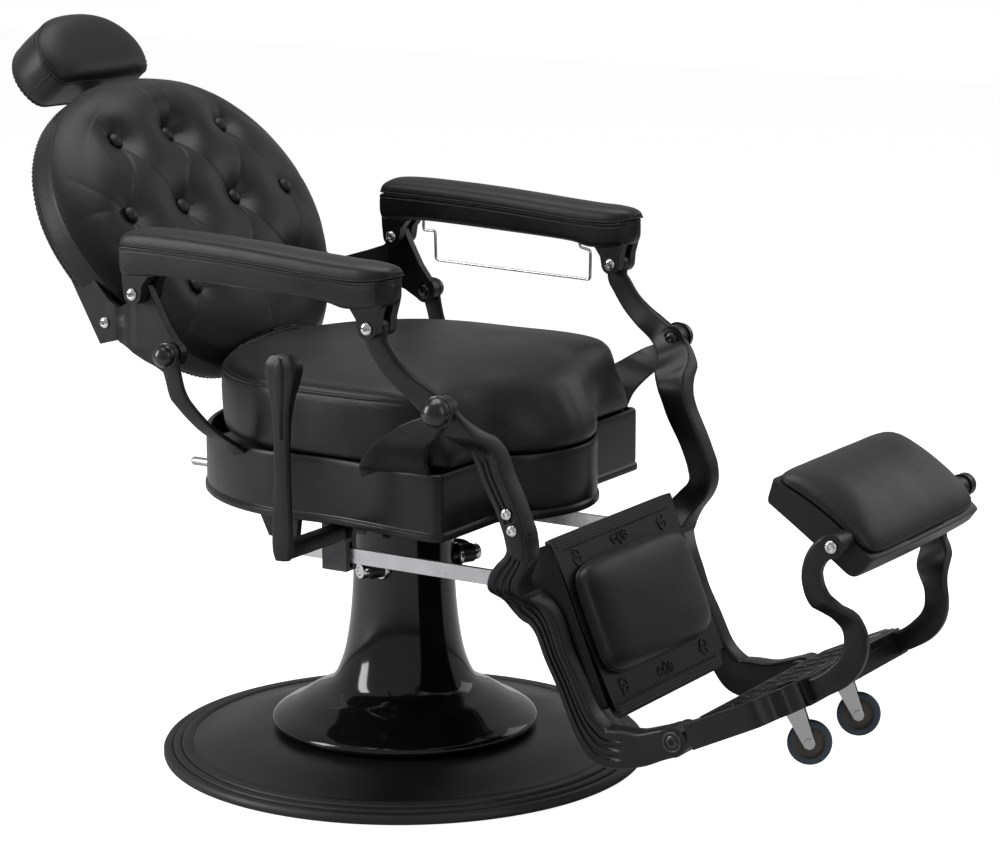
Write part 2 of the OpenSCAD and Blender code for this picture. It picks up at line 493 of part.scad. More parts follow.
module back_bracket(s) color("#161719") left(s) difference() {
  w = arm_t / 2;
  union() {
    intersection() {
      xz(pad_y - 20, side_max) polygon(concat([pad_c + [-44.7, 43.7], pad_c + [-17.4, 65.9]], [for (p = [[-163, 74], [-141, 49.5], [-125, 42], [-108, 47], [-85, 54.5],
        [-68, 61], [-61, 68], [-56, 84], [-46, 92.4], [-34, 87], [-29, 74], [-8, 36], [6, 18], [18, 4], [16, -9], [3, -18], [-14, -12], [-34, -1],
        [-63, 6], [-84, 2], [-113, -1]]) A + p], [pad_c + [48.2, -50.2], pad_c + [13.9, -59.3]]));
      translate([0, 0, 500]) linear_extrude(260) polygon(band(curve([[-400, pad_y - 4, 4], [-350, pad_y - 4, 4], [-315, pad_y - 4, 4], [-293, pad_y - 4, 4], [-278, pad_y, 5], [-262, mix(pad_y, wing_y, 0.283), 6], [-246, mix(pad_y, wing_y, 0.587), 6], [-232, mix(pad_y, wing_y, 0.848), 6],
        [-219, wing_y - 0.5, w], [-200, wing_y, w], [-170, wing_y, w], [-120, wing_y, w]], 2)));
    }
    // stop lug behind the wing
    xz(pad_y - 8, pad_y) polygon([for (p = [[-128, 38], [-124, -4], [-113, -10], [-102, -17], [-84, -25], [-66, -31], [-54, -37], [-44, -36], [-40, -22], [-62, 8], [-100, 30]]) A + p]);
    yrod(A, pivot_d + 20, wing_y - w, wing_y + w);
    yrod(B, pin_d + 20, wing_y - w, wing_y + w);
  }
  yrod(A, pivot_d + 2 * run, 200, 400);
  yrod(B, pin_d + 2 * run, 200, 400);
}
module back_screws() color("silver") for (s = [-1, 1]) for (p = [[0, 50], [5, -37]]) on_pad(s)
  translate([p[0], pad_y, p[1]]) rotate([-90, 0, 0]) rotate_extrude($fn = 32) polygon([[0, 0], [7.5, 0], [7.2, 2], [5.5, 3.4], [3.2, 3.8], [3.2, 1.6], [0, 1.6]]);

// headrest: local frame like the back's, leaning a little more
head_tilt = back_tilt + 4.5;
head_o = back_c + [-144, 175];
bean = [[0, 9], [21, 9], [40, 7], [64, 2], [84, 0], [98, 8], [106, 24], [108, 42], [102, 62], [88, 80], [66, 95], [36, 104], [0, 107]];
function head_ring(x, k, lift = 0) = let (h = loop(both2([for (p = bean) [p[0] * head_w / 216, p[1] * head_h / 107]]), 2), c = [0, head_h * 0.5])
  [for (p = h) [x, c[0] + (p[0] - c[0]) * k, c[1] + (p[1] - c[1]) * k + lift]];
function both2(h) = concat(h, [for (i = [len(h) - 2:-1:1]) [-h[i][0], h[i][1]]]);
module on_head() translate([head_o[0], 0, head_o[1]]) rotate([0, -head_tilt, 0]) children();
module headrest_cushion() color("#1b1b1c") on_head() skin([head_ring(-head_t - 5, 0.45), head_ring(-head_t - 3, 0.8), head_ring(-head_t + 3, 0.95),
  head_ring(-head_t + 14, 1), head_ring(-head_t / 2, 1.01), head_ring(-6, 1), head_ring(0, 0.985), head_ring(6, 0.93), head_ring(11, 0.8), head_ring(14.5, 0.6), head_ring(16, 0.35)]);
module headrest_guide() color("#1a1b1d") on_back() difference() {
  translate([-shell_t - 16, -36, 90]) cube([14, 72, 60]);
  translate([-shell_t - 12.5 - run, -25 - run, 80]) cube([6 + 2 * run, 50 + 2 * run, 80]);
}
// flat bar with a plate under the headrest
head_bar = (head_o - back_c) * [-sin(back_tilt), cos(back_tilt)] - 5.5 + 9 * head_h / 107;
module headrest_bar() color("silver") {
  on_back() translate([-shell_t - 12.5, -25, 60]) cube([6, 50, head_bar - 60]);
  on_head() translate([-shell_t - 2, -19, 9 * head_h / 107 - 2 * soft - 4]) cube([34, 38, 4]);
}

// ---- armrests ------------------------------------------------------------
rest_y0 = arm_y - rest_w / 2;
rest_y1 = arm_y + rest_w / 2;
rest_top = curve([[-222, 719.6], [-150, 718.5], [-57, 715.3], [54, 708.2], [130, 703.6], [168, 704.6], [193, 709.5]], 3);
rest_low = curve([[198, 690], [182, 674], [130, 668], [92, 674.5], [-20, 680], [-135, 684], [-188, 681.5], [-219, 680]], 2);
module rest_plan(d) polygon(loop([[-219 - d, rest_y0 + 10], [-220 - d, arm_y], [-219 - d, rest_y1 - 10], [-208, rest_y1 - 0.6 + d], [-120, rest_y1 + d], [60, rest_y1 + d], [166, rest_y1 - 1 + d],
  [187 + d, rest_y1 - 13], [193 + d, arm_y], [187 + d, rest_y0 + 13], [166, rest_y0 + 1 - d], [60, rest_y0 - d], [-120, rest_y0 - d], [-208, rest_y0 + 0.6 - d]], 3));
module armrest(s) color("#141517") left(s) difference() {
  union() {
    intersection() {
      xz(rest_y0 - 5, rest_y1 + 5) polygon(concat(rest_top, rest_low));
      translate([0, 0, 600]) linear_extrude(200) rest_plan(0);
    }
    for (y = [arm_y - ear_out, arm_y + slot_t / 2]) {
      xz(y, y + ear_out - slot_t / 2) polygon([B + [-13, 4], B + [-16, 27], B + [50, 32], B + [24, 16], B + [13, 4]]);
      yrod(B, 28, y, y + ear_out - slot_t / 2);
      xz(y, y + ear_out - slot_t / 2) polygon([C + [-13, 5], C + [-30, 34], C + [20, 34], C + [14, 4]]);
      yrod(C, 28, y, y + ear_out - slot_t / 2);
    }
  }
  yrod(B, pin_d, 200, 400);
  yrod(C, pin_d, 200, 400);
  // holes for the ends of the towel bar
  if (s > 0) for (x = [-146, 113]) translate([x, rest_y0 + 6, 655]) cylinder(d = 5, h = 31);
  // room for the arm ends between the ears
  yrod(B, 44, arm_y - slot_t / 2, arm_y + slot_t / 2);
  yrod(C, 46, arm_y - slot_t / 2, arm_y + slot_t / 2);
}
module rest_pins(s) color("silver") left(s) for (q = [B, C]) {
  yrod(q, pin_d, arm_y - ear_out, arm_y + ear_out);
  for (m = [0, 1]) translate([q[0], m ? arm_y + ear_out : arm_y - ear_out, q[1]]) rotate([m ? -90 : 90, 0, 0])
    rotate_extrude($fn = 32) polygon([[0, 0], [8, 0], [7.6, 2.2], [5.8, 3.6], [3.4, 4], [3.4, 1.8], [0, 1.8]]);
}
// arm pad: sections along X: [x, seat height, half width, share of the full thickness]
pad_secs = [[-221, 720, 20, 0.25], [-215, 720, 26, 0.6], [-200, 719.6, 29, 0.85], [-150, 718.5, 30, 1], [-100, 717, 30, 1], [-57, 715.3, 30, 1], [0, 712, 30, 1], [54, 708.2, 30, 1],
  [95, 705.2, 30, 1], [130, 703.6, 29.6, 0.98], [160, 704.2, 28, 0.9], [177, 706, 24, 0.75], [187, 708.3, 18, 0.52], [193, 709.5, 12, 0.25]];
function pad_ring(q, h) = let (w = q[2] * rest_w / 58, z = q[1] + soft) [for (p = [[-0.97, 0], [-1, 0.25], [-0.98, 0.5], [-0.86, 0.74], [-0.62, 0.91], [-0.32, 0.98],
  [0, 1], [0.32, 0.98], [0.62, 0.91], [0.86, 0.74], [0.98, 0.5], [1, 0.25], [0.97, 0]]) [q[0], arm_y + p[0] * w, z + p[1] * h * q[3]]];
module arm_pad(s) color("#1b1b1c") left(s) skin([for (q = pad_secs) pad_ring(q, rest_pad_h)]);

// towel bar on the left armrest: bent wire, both ends let into the casing
tb_y = rest_y0 + 6;
module towel_bar() color("silver") {
  q = [[-146, 685], [-146, 670.5], [-126, 671.5], [-125, 629.5], [129.5, 622.6], [130, 664], [113, 667], [113, 675]];
  wire([for (p = q) [p[0], tb_y, p[1]]], 4);
}

// ---- leg rest ------------------------------------------------------------
leg_line = curve(concat(
  [concat(C, [14])], along(C, D, [[0.1, -13.5, 14.5], [0.2, -16.4, 15], [0.4, -19.6, 15], [0.6, -16.9, 15.5], [0.8, -11.4, 17.5]]),
  along(D, E, [[0.012, -5.8, 20], [0.083, -2.4, 20], [0.145, -6.2, 19], [0.206, -12.6, 18], [0.279, -16.2, 17], [0.339, -21.5, 17],
    [0.365, -25, 17.5], [0.397, -32.8, 17], [0.417, -46.2, 17], [0.43, -64.6, 19], [0.447, -80.9, 22], [0.472, -92.5, 24], [0.511, -94.4, 23],
    [0.548, -88.2, 20], [0.593, -88.1, 17], [0.661, -94.7, 16], [0.737, -98.3, 16], [0.824, -104.2, 17], [0.88, -103.5, 21], [0.926, -95.5, 25],
    [0.954, -74.1, 25], [0.977, -49.5, 22], [0.989, -23.8, 20]]), [concat(E, [19.5])]), 2);
split_i = 24;                    // joint between the upper and lower arm
// centre line of the arms seen from the front: [y, z, half thickness]
bow_line = let (a = arm_t / 2, b = leg_t / 2, lo = low_out - b) curve([[arm_y, 720, a], [arm_y, 646, a], [arm_y - 1.5, 600, a], [arm_y - 4, 586, a], [front_y - 0.7, 570, a], [front_y - 1, 546, a],
  [front_y - 6, 534, a + 2], [front_y - 19, 520, a + 5], [mid_y + 16, 507, b - 2], [mid_y + 3, 490, b], [mid_y, 465, b], [mid_y, 370, b], [mid_y - 3, 345, b], [mid_y - 17, 322, b],
  [lo + 9, 300, b], [lo + 1, 282, b], [lo, 262, b], [lo, 200, b], [lo, 60, b]], 2);
module arm_solid(i0, i1) intersection() {
  xz(100, side_max) polygon(band(leg_line, -1, 1, i0, i1));
  yz(60, 620) polygon(band(bow_line));
}
// flutes cut in the outer face
module flutes(i0, i1, offs, w) intersection() {
  xz(100, side_max) for (o = offs) polygon(band(leg_line, o - w, o + w, i0, i1));
  yz(60, 620) polygon(band(bow_line, -1.2, -0.82));
}
module front_arm(s) color("#161719") left(s) difference() {
  union() {
    arm_solid(0, split_i);
    yrod(C, 28, arm_y - arm_t / 2 + 0.4, arm_y + arm_t / 2 - 0.4);
    yrod(D, pivot_d + 20, front_y - arm_t / 2 + 0.2, front_y + arm_t / 2 - 0.2);
  }
  yrod(C, pin_d + 2.8, 200, 400);
  yrod(D, pivot_d + 2 * run, 200, 400);
  // seat of the screw head inside
  yrod(D, 26, 200, front_y - arm_t / 2);
  flutes(16, 22, [-0.32, 0.32], 0.16);
}
module leg_frame(s) color("#161719") left(s) difference() {
  union() {
    arm_solid(split_i, len(leg_line) - 1);
    yrod(E, 39, low_in, low_out);
    // boss of the link bar
    yrod(P, 24, link_y + link_t / 2 + gap, mid_y - 32);
    yrod(P, pin_d, link_y - link_t / 2 - 3, link_y + link_t / 2 + gap);
  }
  flutes(split_i + 1, len(leg_line) - 9, [-0.38, 0.30], 0.14);
  yrod(E, pin_d, 100, 300);
  yrod(E, 20, low_out - 4, low_out + 10);
}
leg_n = len(leg_line);
module leg_screws() {
  color("silver") for (s = [1, -1]) left(s) for (p = [D + [65.6, -130], D + [73.6, -150]]) yrodhead(p, mid_y + leg_t / 2);
  color("#101010") for (s = [1, -1]) left(s) { yrod(E, pin_d, low_in - 18, low_out - 4);
    translate([E[0], low_out - 4, E[1]]) rotate([-90, 0, 0]) rotate_extrude($fn = 32) polygon([[0, 0], [9.8, 0], [9.8, 3], [7, 5.5], [4.5, 5.5], [4.5, 2.5], [0, 2.5]]); }
}
module yrodhead(p, y) translate([p[0], y, p[1]]) rotate([-90, 0, 0]) rotate_extrude($fn = 32) polygon([[0, 0], [7.5, 0], [7.2, 2.4], [5.5, 3.8], [3.2, 4.2], [3.2, 2], [0, 2]]);

// calf plate: local X across the thickness (forward), Z up its slope
calf_tilt = 23;
calf_c = D + [117.6, -293];       // middle of the plate on its front face
module on_calf() translate([calf_c[0], 0, calf_c[1]]) rotate([0, -calf_tilt, 0]) children();
module calf_plate() color("#141517") intersection() {
  on_calf() union() {
    difference() {
      translate([-calf_t, 0, 0]) yz(0, calf_t) polygon(both_y(curve([[0, 121], [120, 121], [calf_half + 5, 120], [calf_half + 3, 96], [calf_half, 60], [calf_half - 1, 0], [calf_half - 6, -60], [calf_half - 10, -104], [calf_half - 20, -120], [120, -121], [0, -121]], 2)));
    }
    // returned sides, reaching back to the arms
    for (s = [-1, 1]) left(s) translate([-26, 0, -112]) cube([18, low_in - 0.6, 0.01]);
    for (s = [-1, 1]) left(s) yz(-28, -calf_t) polygon([[calf_half - 22, -104], [low_in - 0.6, -104], [low_in - 0.6, 24], [calf_half - 8, 30], [calf_half - 12, 0]]);
  }
  translate([0, -300, 0]) cube([700, 600, 600]);
}
function both_y(h) = concat(h, [for (i = [len(h) - 1:-1:0]) if (h[i][0] > 0.01) [-h[i][0], h[i][1]]]);
function sup(a, w, h, e) = let (c = cos(a), s = sin(a)) [w * sign(c) * pow(abs(c), e), h * sign(s) * pow(abs(s), e)];
module calf_pad() color("#1b1b1c") on_calf() skin([for (r = [[soft, 0.97], [3, 1], [8, 1], [13, 0.96], [17, 0.86], [20.5, 0.68], [22.5, 0.42], [24, 0.15]])
  [for (i = [0:47]) let (p = sup(360 * i / 48, 141 * r[1], 75 * r[1], 0.42)) [r[0] < 3 ? r[0] : r[0] * calf_pad_t / 24, p[0], p[1] + 4]]]);

// link bars between the leg frames and the recline lock
module link_bar(s) color("silver") left(s) difference() {
  union() {
    xz(link_y - link_t / 2, link_y + link_t / 2) polygon([[-55, P[1] - link_h / 2], [P[0], P[1] - link_h / 2], [P[0], P[1] + link_h / 2], [-55, P[1] + link_h / 2]]);
    yrod(P, link_h + 2, link_y - link_t / 2, link_y + link_t / 2);
  }
  yrod(P, pin_d + 2 * run, 100, 300);
}

// ---- footrest ------------------------------------------------------------
foot_a = 26;                     // slope of the footplate
module on_foot() translate([E[0], 0, E[1]]) rotate([0, -foot_a, 0]) children();
function ff(x, z) = E + [x * cos(foot_a) - z * sin(foot_a), x * sin(foot_a) + z * cos(foot_a)];
foot_line = let (r = [cos(foot_a), sin(foot_a)], q = F - [732.4, 421.7]) curve([for (p = [[668, 217, 14], [681.5, 223.5, 14], [696, 231.5, 14.5], [712, 243.5, 16], [724.5, 258, 16],
  [731, 274, 15.5], [731.5, 291, 15], [728, 306, 14.5], [721.5, 320, 16], [712.5, 335, 17], [704.5, 349, 15.5], [702.5, 365, 13.5], [703.5, 380, 12.5], [706, 393, 12], [713, 408, 13], [724, 419, 14], [732.4, 421.7, 14]]) [p[0] + q[0], p[1] + q[1], p[2]]], 2);
foot_bow = let (o = foot_t / 2, c = low_out - o) curve([for (p = [[0, 470], [0, 420], [0, 400], [-5, 380], [-16, 360], [-30, 340], [-46.5, 330], [-60, 320], [-67, 310],
  [-70.3, 300], [-71, 285], [-70, 270], [-69, 255], [-67.5, 240], [-66, 225], [-65, 190]]) [c + p[0], p[1], o]], 2);
module foot_arm(s) color("#161719") left(s) difference() {
  union() {
    intersection() {
      xz(80, 230) polygon(band(foot_line));
      yz(600, 820) polygon(band(foot_bow));
    }
    yrod(F, 30, foot_in, low_out);
    // stop nose under the footpad
    intersection() { yrod(F + [-27, -19], 16, foot_in, low_out); xz(100, 300) polygon([F + [-60, -60], F + [0, -60], F + [-6, -2], F + [-60, 8]]); }
  }
  yrod(F, pin_d + 2 * run, 100, 300);
  // seat on the footplate
  on_foot() translate([100, 80, -60]) cube([foot_len - 100, 130, 120]);
}
foot_len = 172;                  // front edge of the footplate from its hinge
foot_half = [[24.5, low_out], [60, low_out], [112, low_out], [124, low_out - 3], [132, low_out - 13], [138, low_out - 25], [145, low_out - 30], [152, low_out - 34], [158, low_out - 46], [164, low_out - 56], [foot_len, low_out - 60]];
module footplate() color("#141517") {
  on_foot() difference() {
    union() {
      translate([0, 0, -17.5]) linear_extrude(33) difference() {
        polygon(let (h = curve(foot_half, 3)) concat(h, [for (i = [len(h) - 1:-1:0]) [h[i][0], -h[i][1]]]));
      }
    }
    translate([10, -low_out + 14, -20]) cube([foot_len - 20, 2 * low_out - 28, 25.5]);
    translate([0, -low_in + 14, 12]) cube([36, 2 * low_in - 28, 10]);
  }
  // relief ribs on the tread
  on_foot() for (i = [0:9]) let (h = i > 8 ? low_out - 66 : low_in - 12) translate([44 + i * 13, -h, 15]) cube([5, 2 * h, 1.9]);
  // hinge ears inside the lower arms
  for (s = [-1, 1]) left(s) difference() {
    union() {
      yrod(E, 35, low_in - 18, low_in - gap);
      on_foot() translate([0, low_in - 17.5, -14]) cube([24.5, 17 - gap, 28]);
    }
    yrod(E, pin_d + 2 * run, 100, 300);
  }
}

// footpad: casing and cushion turn on the pins in the arm eyes
module on_pad_f() translate([F[0], 0, F[1]]) children();
pad_l = 65;                      // half length of the pad along its slope
pad_x = -32;                     // its middle, behind the pins
function seam_z(u) = 23.5 - 0.623 * u + 10 * (1 - pow(u / pad_l, 2));   // its curved seam, over the pins
pad_seam = [for (u = [-pad_l - 1:6.5:pad_l + 1]) [pad_x + u, seam_z(u) - 1.3]];
module footpad_casing() color("#141517") {
  difference() {
    union() {
      intersection() {
        on_pad_f() xz(-footpad_w / 2, footpad_w / 2) polygon(concat(pad_seam, [[pad_x + pad_l + 1.5, seam_z(pad_l) - 3], [24, -34], [10, -45], [-105, 34], [-104, 40]]));
        translate([0, 0, 300]) linear_extrude(300) polygon(loop([[600, -footpad_w / 2 + 14], [F[0] - 90, -footpad_w / 2], [F[0], -footpad_w / 2], [F[0] + 24, -footpad_w / 2 + 3], [F[0] + 40, -footpad_w / 2 + 26], [F[0] + 44, 0],
          [F[0] + 40, footpad_w / 2 - 26], [F[0] + 24, footpad_w / 2 - 3], [F[0], footpad_w / 2], [F[0] - 90, footpad_w / 2], [600, footpad_w / 2 - 14]], 3));
      }
      for (s = [-1, 1]) left(s) yrod(F, 26, footpad_w / 2 - 1.5, foot_in - gap);
    }
    yrod(F, pin_d, -low_out, low_out);
  }
}
// rings of the footpad cushion over the seam: [inset, rise]
pad_rings = [[48, soft], [28, soft], [12, soft], [1, soft], [0.3, 2.5], [1.2, 5.5], [4, 8.5], [10, 12], [20, 15.5], [33, 18.5], [48, 20.5], [58, 21]];
function pad_plan(d) = let (l = pad_l - d, w = footpad_w / 2 - 2 - d) [for (i = [0:43]) let (p = sup(360 * i / 44, l, w, 0.24)) p];
module footpad_cushion() color("#1b1b1c") translate([F[0] + pad_x, 0, F[1]])
  skin([for (r = pad_rings) [for (p = pad_plan(r[0])) [p[0] + r[1] * 0.53, p[1], seam_z(p[0]) + r[1] * 0.85]]]);
module footpad_pins() color("silver") for (s = [1, -1]) left(s) {
  yrod(F, pin_d, footpad_w / 2 - 30, low_out + gap);
  translate([F[0], low_out + gap, F[1]]) rotate([-90, 0, 0]) rotate_extrude($fn = 32) polygon([[0, 0], [8, 0], [7.6, 2.4], [5.8, 4], [3.4, 4.4], [3.4, 2], [0, 2]]);
}

// casters: local Z is the swivel axis, square to the footplate
cast_x = 106;                    // along the footplate from its hinge
cast_turn = 24;                  // the forks stand turned as they last rolled
axle_dz = -66;
module on_caster(s) on_foot() translate([cast_x, s * caster_y, 0]) rotate([0, 0, s * 0 + cast_turn]) children();
module caster_mounts() color("silver") {
  for (s = [-1, 1]) on_foot() translate([cast_x, s * caster_y, 0]) {
    difference() { translate([-20, -15, 5.5 - 4]) cube([40, 30, 4]); }
    translate([0, 0, -13]) cylinder(d = 8, h = 15);
    for (x = [-14, 14]) translate([x, 0, 1.5 - 2.6]) cylinder(d = 8, h = 2.6, $fn = 6);
  }
}
module caster_fork(s) color("silver") on_caster(s) difference() {
  union() {
    translate([0, 0, -13]) difference() { translate([0, 0, 0]) cylinder(d = 26, h = 11); cylinder(d = 8 + 2 * run, h = 30, center = true); }
    translate([0, 0, -16]) cylinder(d = 28, h = 3);
    for (m = [0, 1]) mirror([0, m, 0]) translate([0, wheel_t / 2 + 1, 0]) {
      xz(0, 2.4) polygon([[-13, -14], [13, -14], [9, axle_dz - 4], [5, axle_dz - 8], [-1, axle_dz - 8], [-5, axle_dz - 4]]);
    }
    xz(-wheel_t / 2 - 3.4, wheel_t / 2 + 3.4) polygon([[-13, -14], [13, -14], [13, -16.5], [-13, -16.5]]);
    yrod([2, axle_dz], 6, -wheel_t / 2 - 5, wheel_t / 2 + 5);
    for (m = [0, 1]) mirror([0, m, 0]) yrod([2, axle_dz], 11, wheel_t / 2 + 3.4, wheel_t / 2 + 6.5);
  }
}
module caster_tyre(s) color("#4a5564") on_caster(s) translate([2, 0, axle_dz]) rotate([90, 0, 0]) rotate_extrude($fn = 64)
  polygon([[wheel_d / 2 - 8, -wheel_t / 2], [wheel_d / 2 - 3, -wheel_t / 2], [wheel_d / 2 - 0.6, -wheel_t / 2 + 2.5], [wheel_d / 2, -wheel_t / 2 + 5], [wheel_d / 2, wheel_t / 2 - 5],
    [wheel_d / 2 - 0.6, wheel_t / 2 - 2.5], [wheel_d / 2 - 3, wheel_t / 2], [wheel_d / 2 - 8, wheel_t / 2]]);
module caster_hub(s) color("#6b6256") on_caster(s) translate([2, 0, axle_dz]) rotate([90, 0, 0]) rotate_extrude($fn = 48)
  polygon([[3.05, -wheel_t / 2 - 0.4], [7, -wheel_t / 2 - 0.4], [9, -wheel_t / 2 + 3], [wheel_d / 2 - 11, -wheel_t / 2 + 3], [wheel_d / 2 - 8.05, -wheel_t / 2 + 1],
    [wheel_d / 2 - 8.05, wheel_t / 2 - 1], [wheel_d / 2 - 11, wheel_t / 2 - 3], [9, wheel_t / 2 - 3], [7, wheel_t / 2 + 0.4], [3.05, wheel_t / 2 + 0.4]]);

base_plate();
base_rim();
column_cover();
pump_cylinder();
pump_head();
ram();
pump_shaft();
pump_pedal();
seat_frame();
lock_right();
lock_left();
pull_rod();
lever_bracket();
recline_lever();
seat_apron();
seat_cushion();
front_bracket(-1);  // front_bracket_right
front_bracket(1);  // front_bracket_left
rear_arm(-1);  // rear_arm_right
rear_arm(1);  // rear_arm_left
seat_pivots();
back_bracket(-1);  // back_bracket_right
back_bracket(1);  // back_bracket_left
back_shell();
back_cushion();
back_buttons();
back_screws();
headrest_guide();
headrest_bar();
headrest_cushion();
armrest(-1);  // armrest_right
armrest(1);  // armrest_left
arm_pad(-1);  // arm_pad_right
arm_pad(1);  // arm_pad_left
rest_pins(-1);  // rest_pins_right
rest_pins(1);  // rest_pins_left
towel_bar();
front_arm(-1);  // front_arm_right
front_arm(1);  // front_arm_left
leg_frame(-1);  // leg_frame_right
leg_frame(1);  // leg_frame_left
leg_screws();
calf_plate();
calf_pad();
link_bar(-1);  // link_bar_right
link_bar(1);  // link_bar_left
footplate();
foot_arm(-1);  // foot_arm_right
foot_arm(1);  // foot_arm_left
footpad_casing();
footpad_cushion();
footpad_pins();
caster_mounts();
caster_fork(-1);  // caster_fork_right
caster_fork(1);  // caster_fork_left
caster_tyre(-1);  // caster_tyre_right
caster_tyre(1);  // caster_tyre_left
caster_hub(-1);  // caster_hub_right
caster_hub(1);  // caster_hub_left
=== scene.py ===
"""Hydraulic barber chair, reclined, with its leg rest raised."""
import math
import bpy
import bmesh
import numpy as np
from mathutils import Vector, Matrix, noise


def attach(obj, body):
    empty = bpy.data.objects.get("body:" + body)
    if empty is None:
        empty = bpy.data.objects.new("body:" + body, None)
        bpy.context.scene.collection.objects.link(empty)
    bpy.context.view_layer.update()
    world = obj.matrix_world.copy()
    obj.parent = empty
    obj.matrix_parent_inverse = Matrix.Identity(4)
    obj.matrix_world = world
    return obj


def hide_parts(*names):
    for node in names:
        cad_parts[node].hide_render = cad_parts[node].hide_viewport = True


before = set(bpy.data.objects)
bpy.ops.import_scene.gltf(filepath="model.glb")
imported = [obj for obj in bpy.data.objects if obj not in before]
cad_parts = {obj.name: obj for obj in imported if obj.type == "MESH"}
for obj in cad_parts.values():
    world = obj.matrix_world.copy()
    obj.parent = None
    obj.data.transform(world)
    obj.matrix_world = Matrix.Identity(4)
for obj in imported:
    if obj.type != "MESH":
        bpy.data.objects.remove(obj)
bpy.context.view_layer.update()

# ---- camera ---------------------------------------------------------------
# A long lens, level with the armrests, from the sitter's right and front.
cam_data = bpy.data.cameras.new("camera")
cam_data.lens, cam_data.sensor_width, cam_data.clip_end = 111.98, 36, 50
cam = bpy.data.objects.new("camera", cam_data)
bpy.context.scene.collection.objects.link(cam)
bpy.context.scene.camera = cam
eye, aim = Vector((2.2758, -3.4038, 1.3139)), Vector((0.153422, 0, 0.465388))
cam.matrix_world = Matrix.LocRotScale(eye, (aim - eye).to_track_quat("-Z", "Y"), None)


# ---- curves in the plane --------------------------------------------------
def cr(a, b, c, d, t):
    """Point t of the way from b to c on the smooth curve through a, b, c and d."""
    a, b, c, d = (np.asarray(v, float) for v in (a, b, c, d))
    return 0.5 * (2 * b + (c - a) * t + (2 * a - 5 * b + 4 * c - d) * t * t + (3 * b - a - 3 * c + d) * t ** 3)


def curve(q, n=4):
    """Smooth open curve through the points of q, n steps between each two."""
    m = len(q)
    out = [cr(q[max(i - 1, 0)], q[i], q[i + 1], q[min(i + 2, m - 1)], k / n) for i in range(m - 1) for k in range(n)]
    return np.array(out + [np.asarray(q[-1], float)])


def loop(q, n=4):
    """Smooth closed curve through the points of q."""
    m = len(q)
    return np.array([cr(q[i - 1], q[i], q[(i + 1) % m], q[(i + 2) % m], k / n) for i in range(m) for k in range(n)])


def along(p, q, pts):
    """Points at [share of the way from p to q, distance to its left, half width]."""
    p, q = np.array(p, float), np.array(q, float)
    u = (q - p) / np.linalg.norm(q - p)
    return [[*(p + (q - p) * e[0] + np.array([-u[1], u[0]]) * e[1]), e[2]] for e in pts]


def mirrored(half):
    """Closed outline from its half with the first coordinate positive, ends on the axis."""
    return [list(p) for p in half] + [[-p[0], p[1]] for p in half[-2:0:-1]]


def even(pts, n):
    """n points evenly spaced round a closed outline."""
    p = np.vstack([pts, pts[:1]])
    s = np.concatenate([[0], np.cumsum(np.linalg.norm(np.diff(p, axis=0), axis=1))])
    t = np.linspace(0, s[-1], n, endpoint=False)
    return np.stack([np.interp(t, s, p[:, i]) for i in range(p.shape[1])], 1)


def tilt(o, deg):
    """Maps [square to the slope, across, up the slope] in mm to the frame."""
    a = math.radians(deg)
    ex, ez = np.array([math.cos(a), 0, math.sin(a)]), np.array([-math.sin(a), 0, math.cos(a)])
    o = np.array([o[0], 0, o[1]])
    return lambda p: o + np.outer(p[:, 0], ex) + np.outer(p[:, 1], [0, 1, 0]) + np.outer(p[:, 2], ez)


# pivots of the linkage in mm, as [x, z]
A, B, C, D = (-156, 580.7), (-202, 657.1), (160.9, 646.4), (253.4, 550)
E, F, P = (523, 147), (732.4, 421.7), (304, 310)
ARM_Y, FRONT_Y, WING_Y = 297, 289, 296


# ---- making pieces --------------------------------------------------------
def piece(name, verts, faces, mat, body, nodes=(), smooth=40, bevel=0, sub=0, segments=3, weld=False):
    """A mesh from points in mm, riding on a body and standing for CAD nodes."""
    me = bpy.data.meshes.new(name)
    me.from_pydata([tuple(v) for v in np.asarray(verts, float) * 0.001], [], [tuple(int(i) for i in f) for f in faces])
    bm = bmesh.new()
    bm.from_mesh(me)
    if weld:
        bmesh.ops.remove_doubles(bm, verts=bm.verts, dist=1e-6)
    bmesh.ops.recalc_face_normals(bm, faces=bm.faces)
    bm.to_mesh(me)
    bm.free()
    ob = bpy.data.objects.new(name, me)
    bpy.context.scene.collection.objects.link(ob)
    me.materials.append(mat)
    finish(ob, smooth, bevel, sub, segments)
    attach(ob, body)
    if nodes:
        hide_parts(*([nodes] if isinstance(nodes, str) else nodes))
    return ob


def finish(ob, smooth=40, bevel=0, sub=0, segments=3):
    """Smooth shading with edges sharper than smooth degrees kept, and optional bevel and subdivision."""
    me = ob.data
    me.shade_smooth()
    if bevel:
        m = ob.modifiers.new("bevel", "BEVEL")
        m.width, m.segments, m.limit_method, m.angle_limit = bevel * 0.001, segments, "ANGLE", math.radians(32)
        m.use_clamp_overlap, m.harden_normals = True, True
    if sub:
        m = ob.modifiers.new("subdivision", "SUBSURF")
        m.levels = m.render_levels = sub
    if smooth < 180 and not sub:
        me.set_sharp_from_angle(angle=math.radians(smooth))


def loft(rings, caps=True):
    """Vertices and faces over rings of 3-D points, closed at both ends by fans."""
    m, n = len(rings), len(rings[0])
    v = np.vstack(rings)
    k = np.arange(n)
    f = [(i * n + a, i * n + (a + 1) % n, (i + 1) * n + (a + 1) % n, (i + 1) * n + a) for i in range(m - 1) for a in k]
    if caps:
        v = np.vstack([v, np.mean(rings[0], 0), np.mean(rings[-1], 0)])
        f += [(m * n, (a + 1) % n, a) for a in k] + [(m * n + 1, (m - 1) * n + a, (m - 1) * n + (a + 1) % n) for a in k]
    return v, f


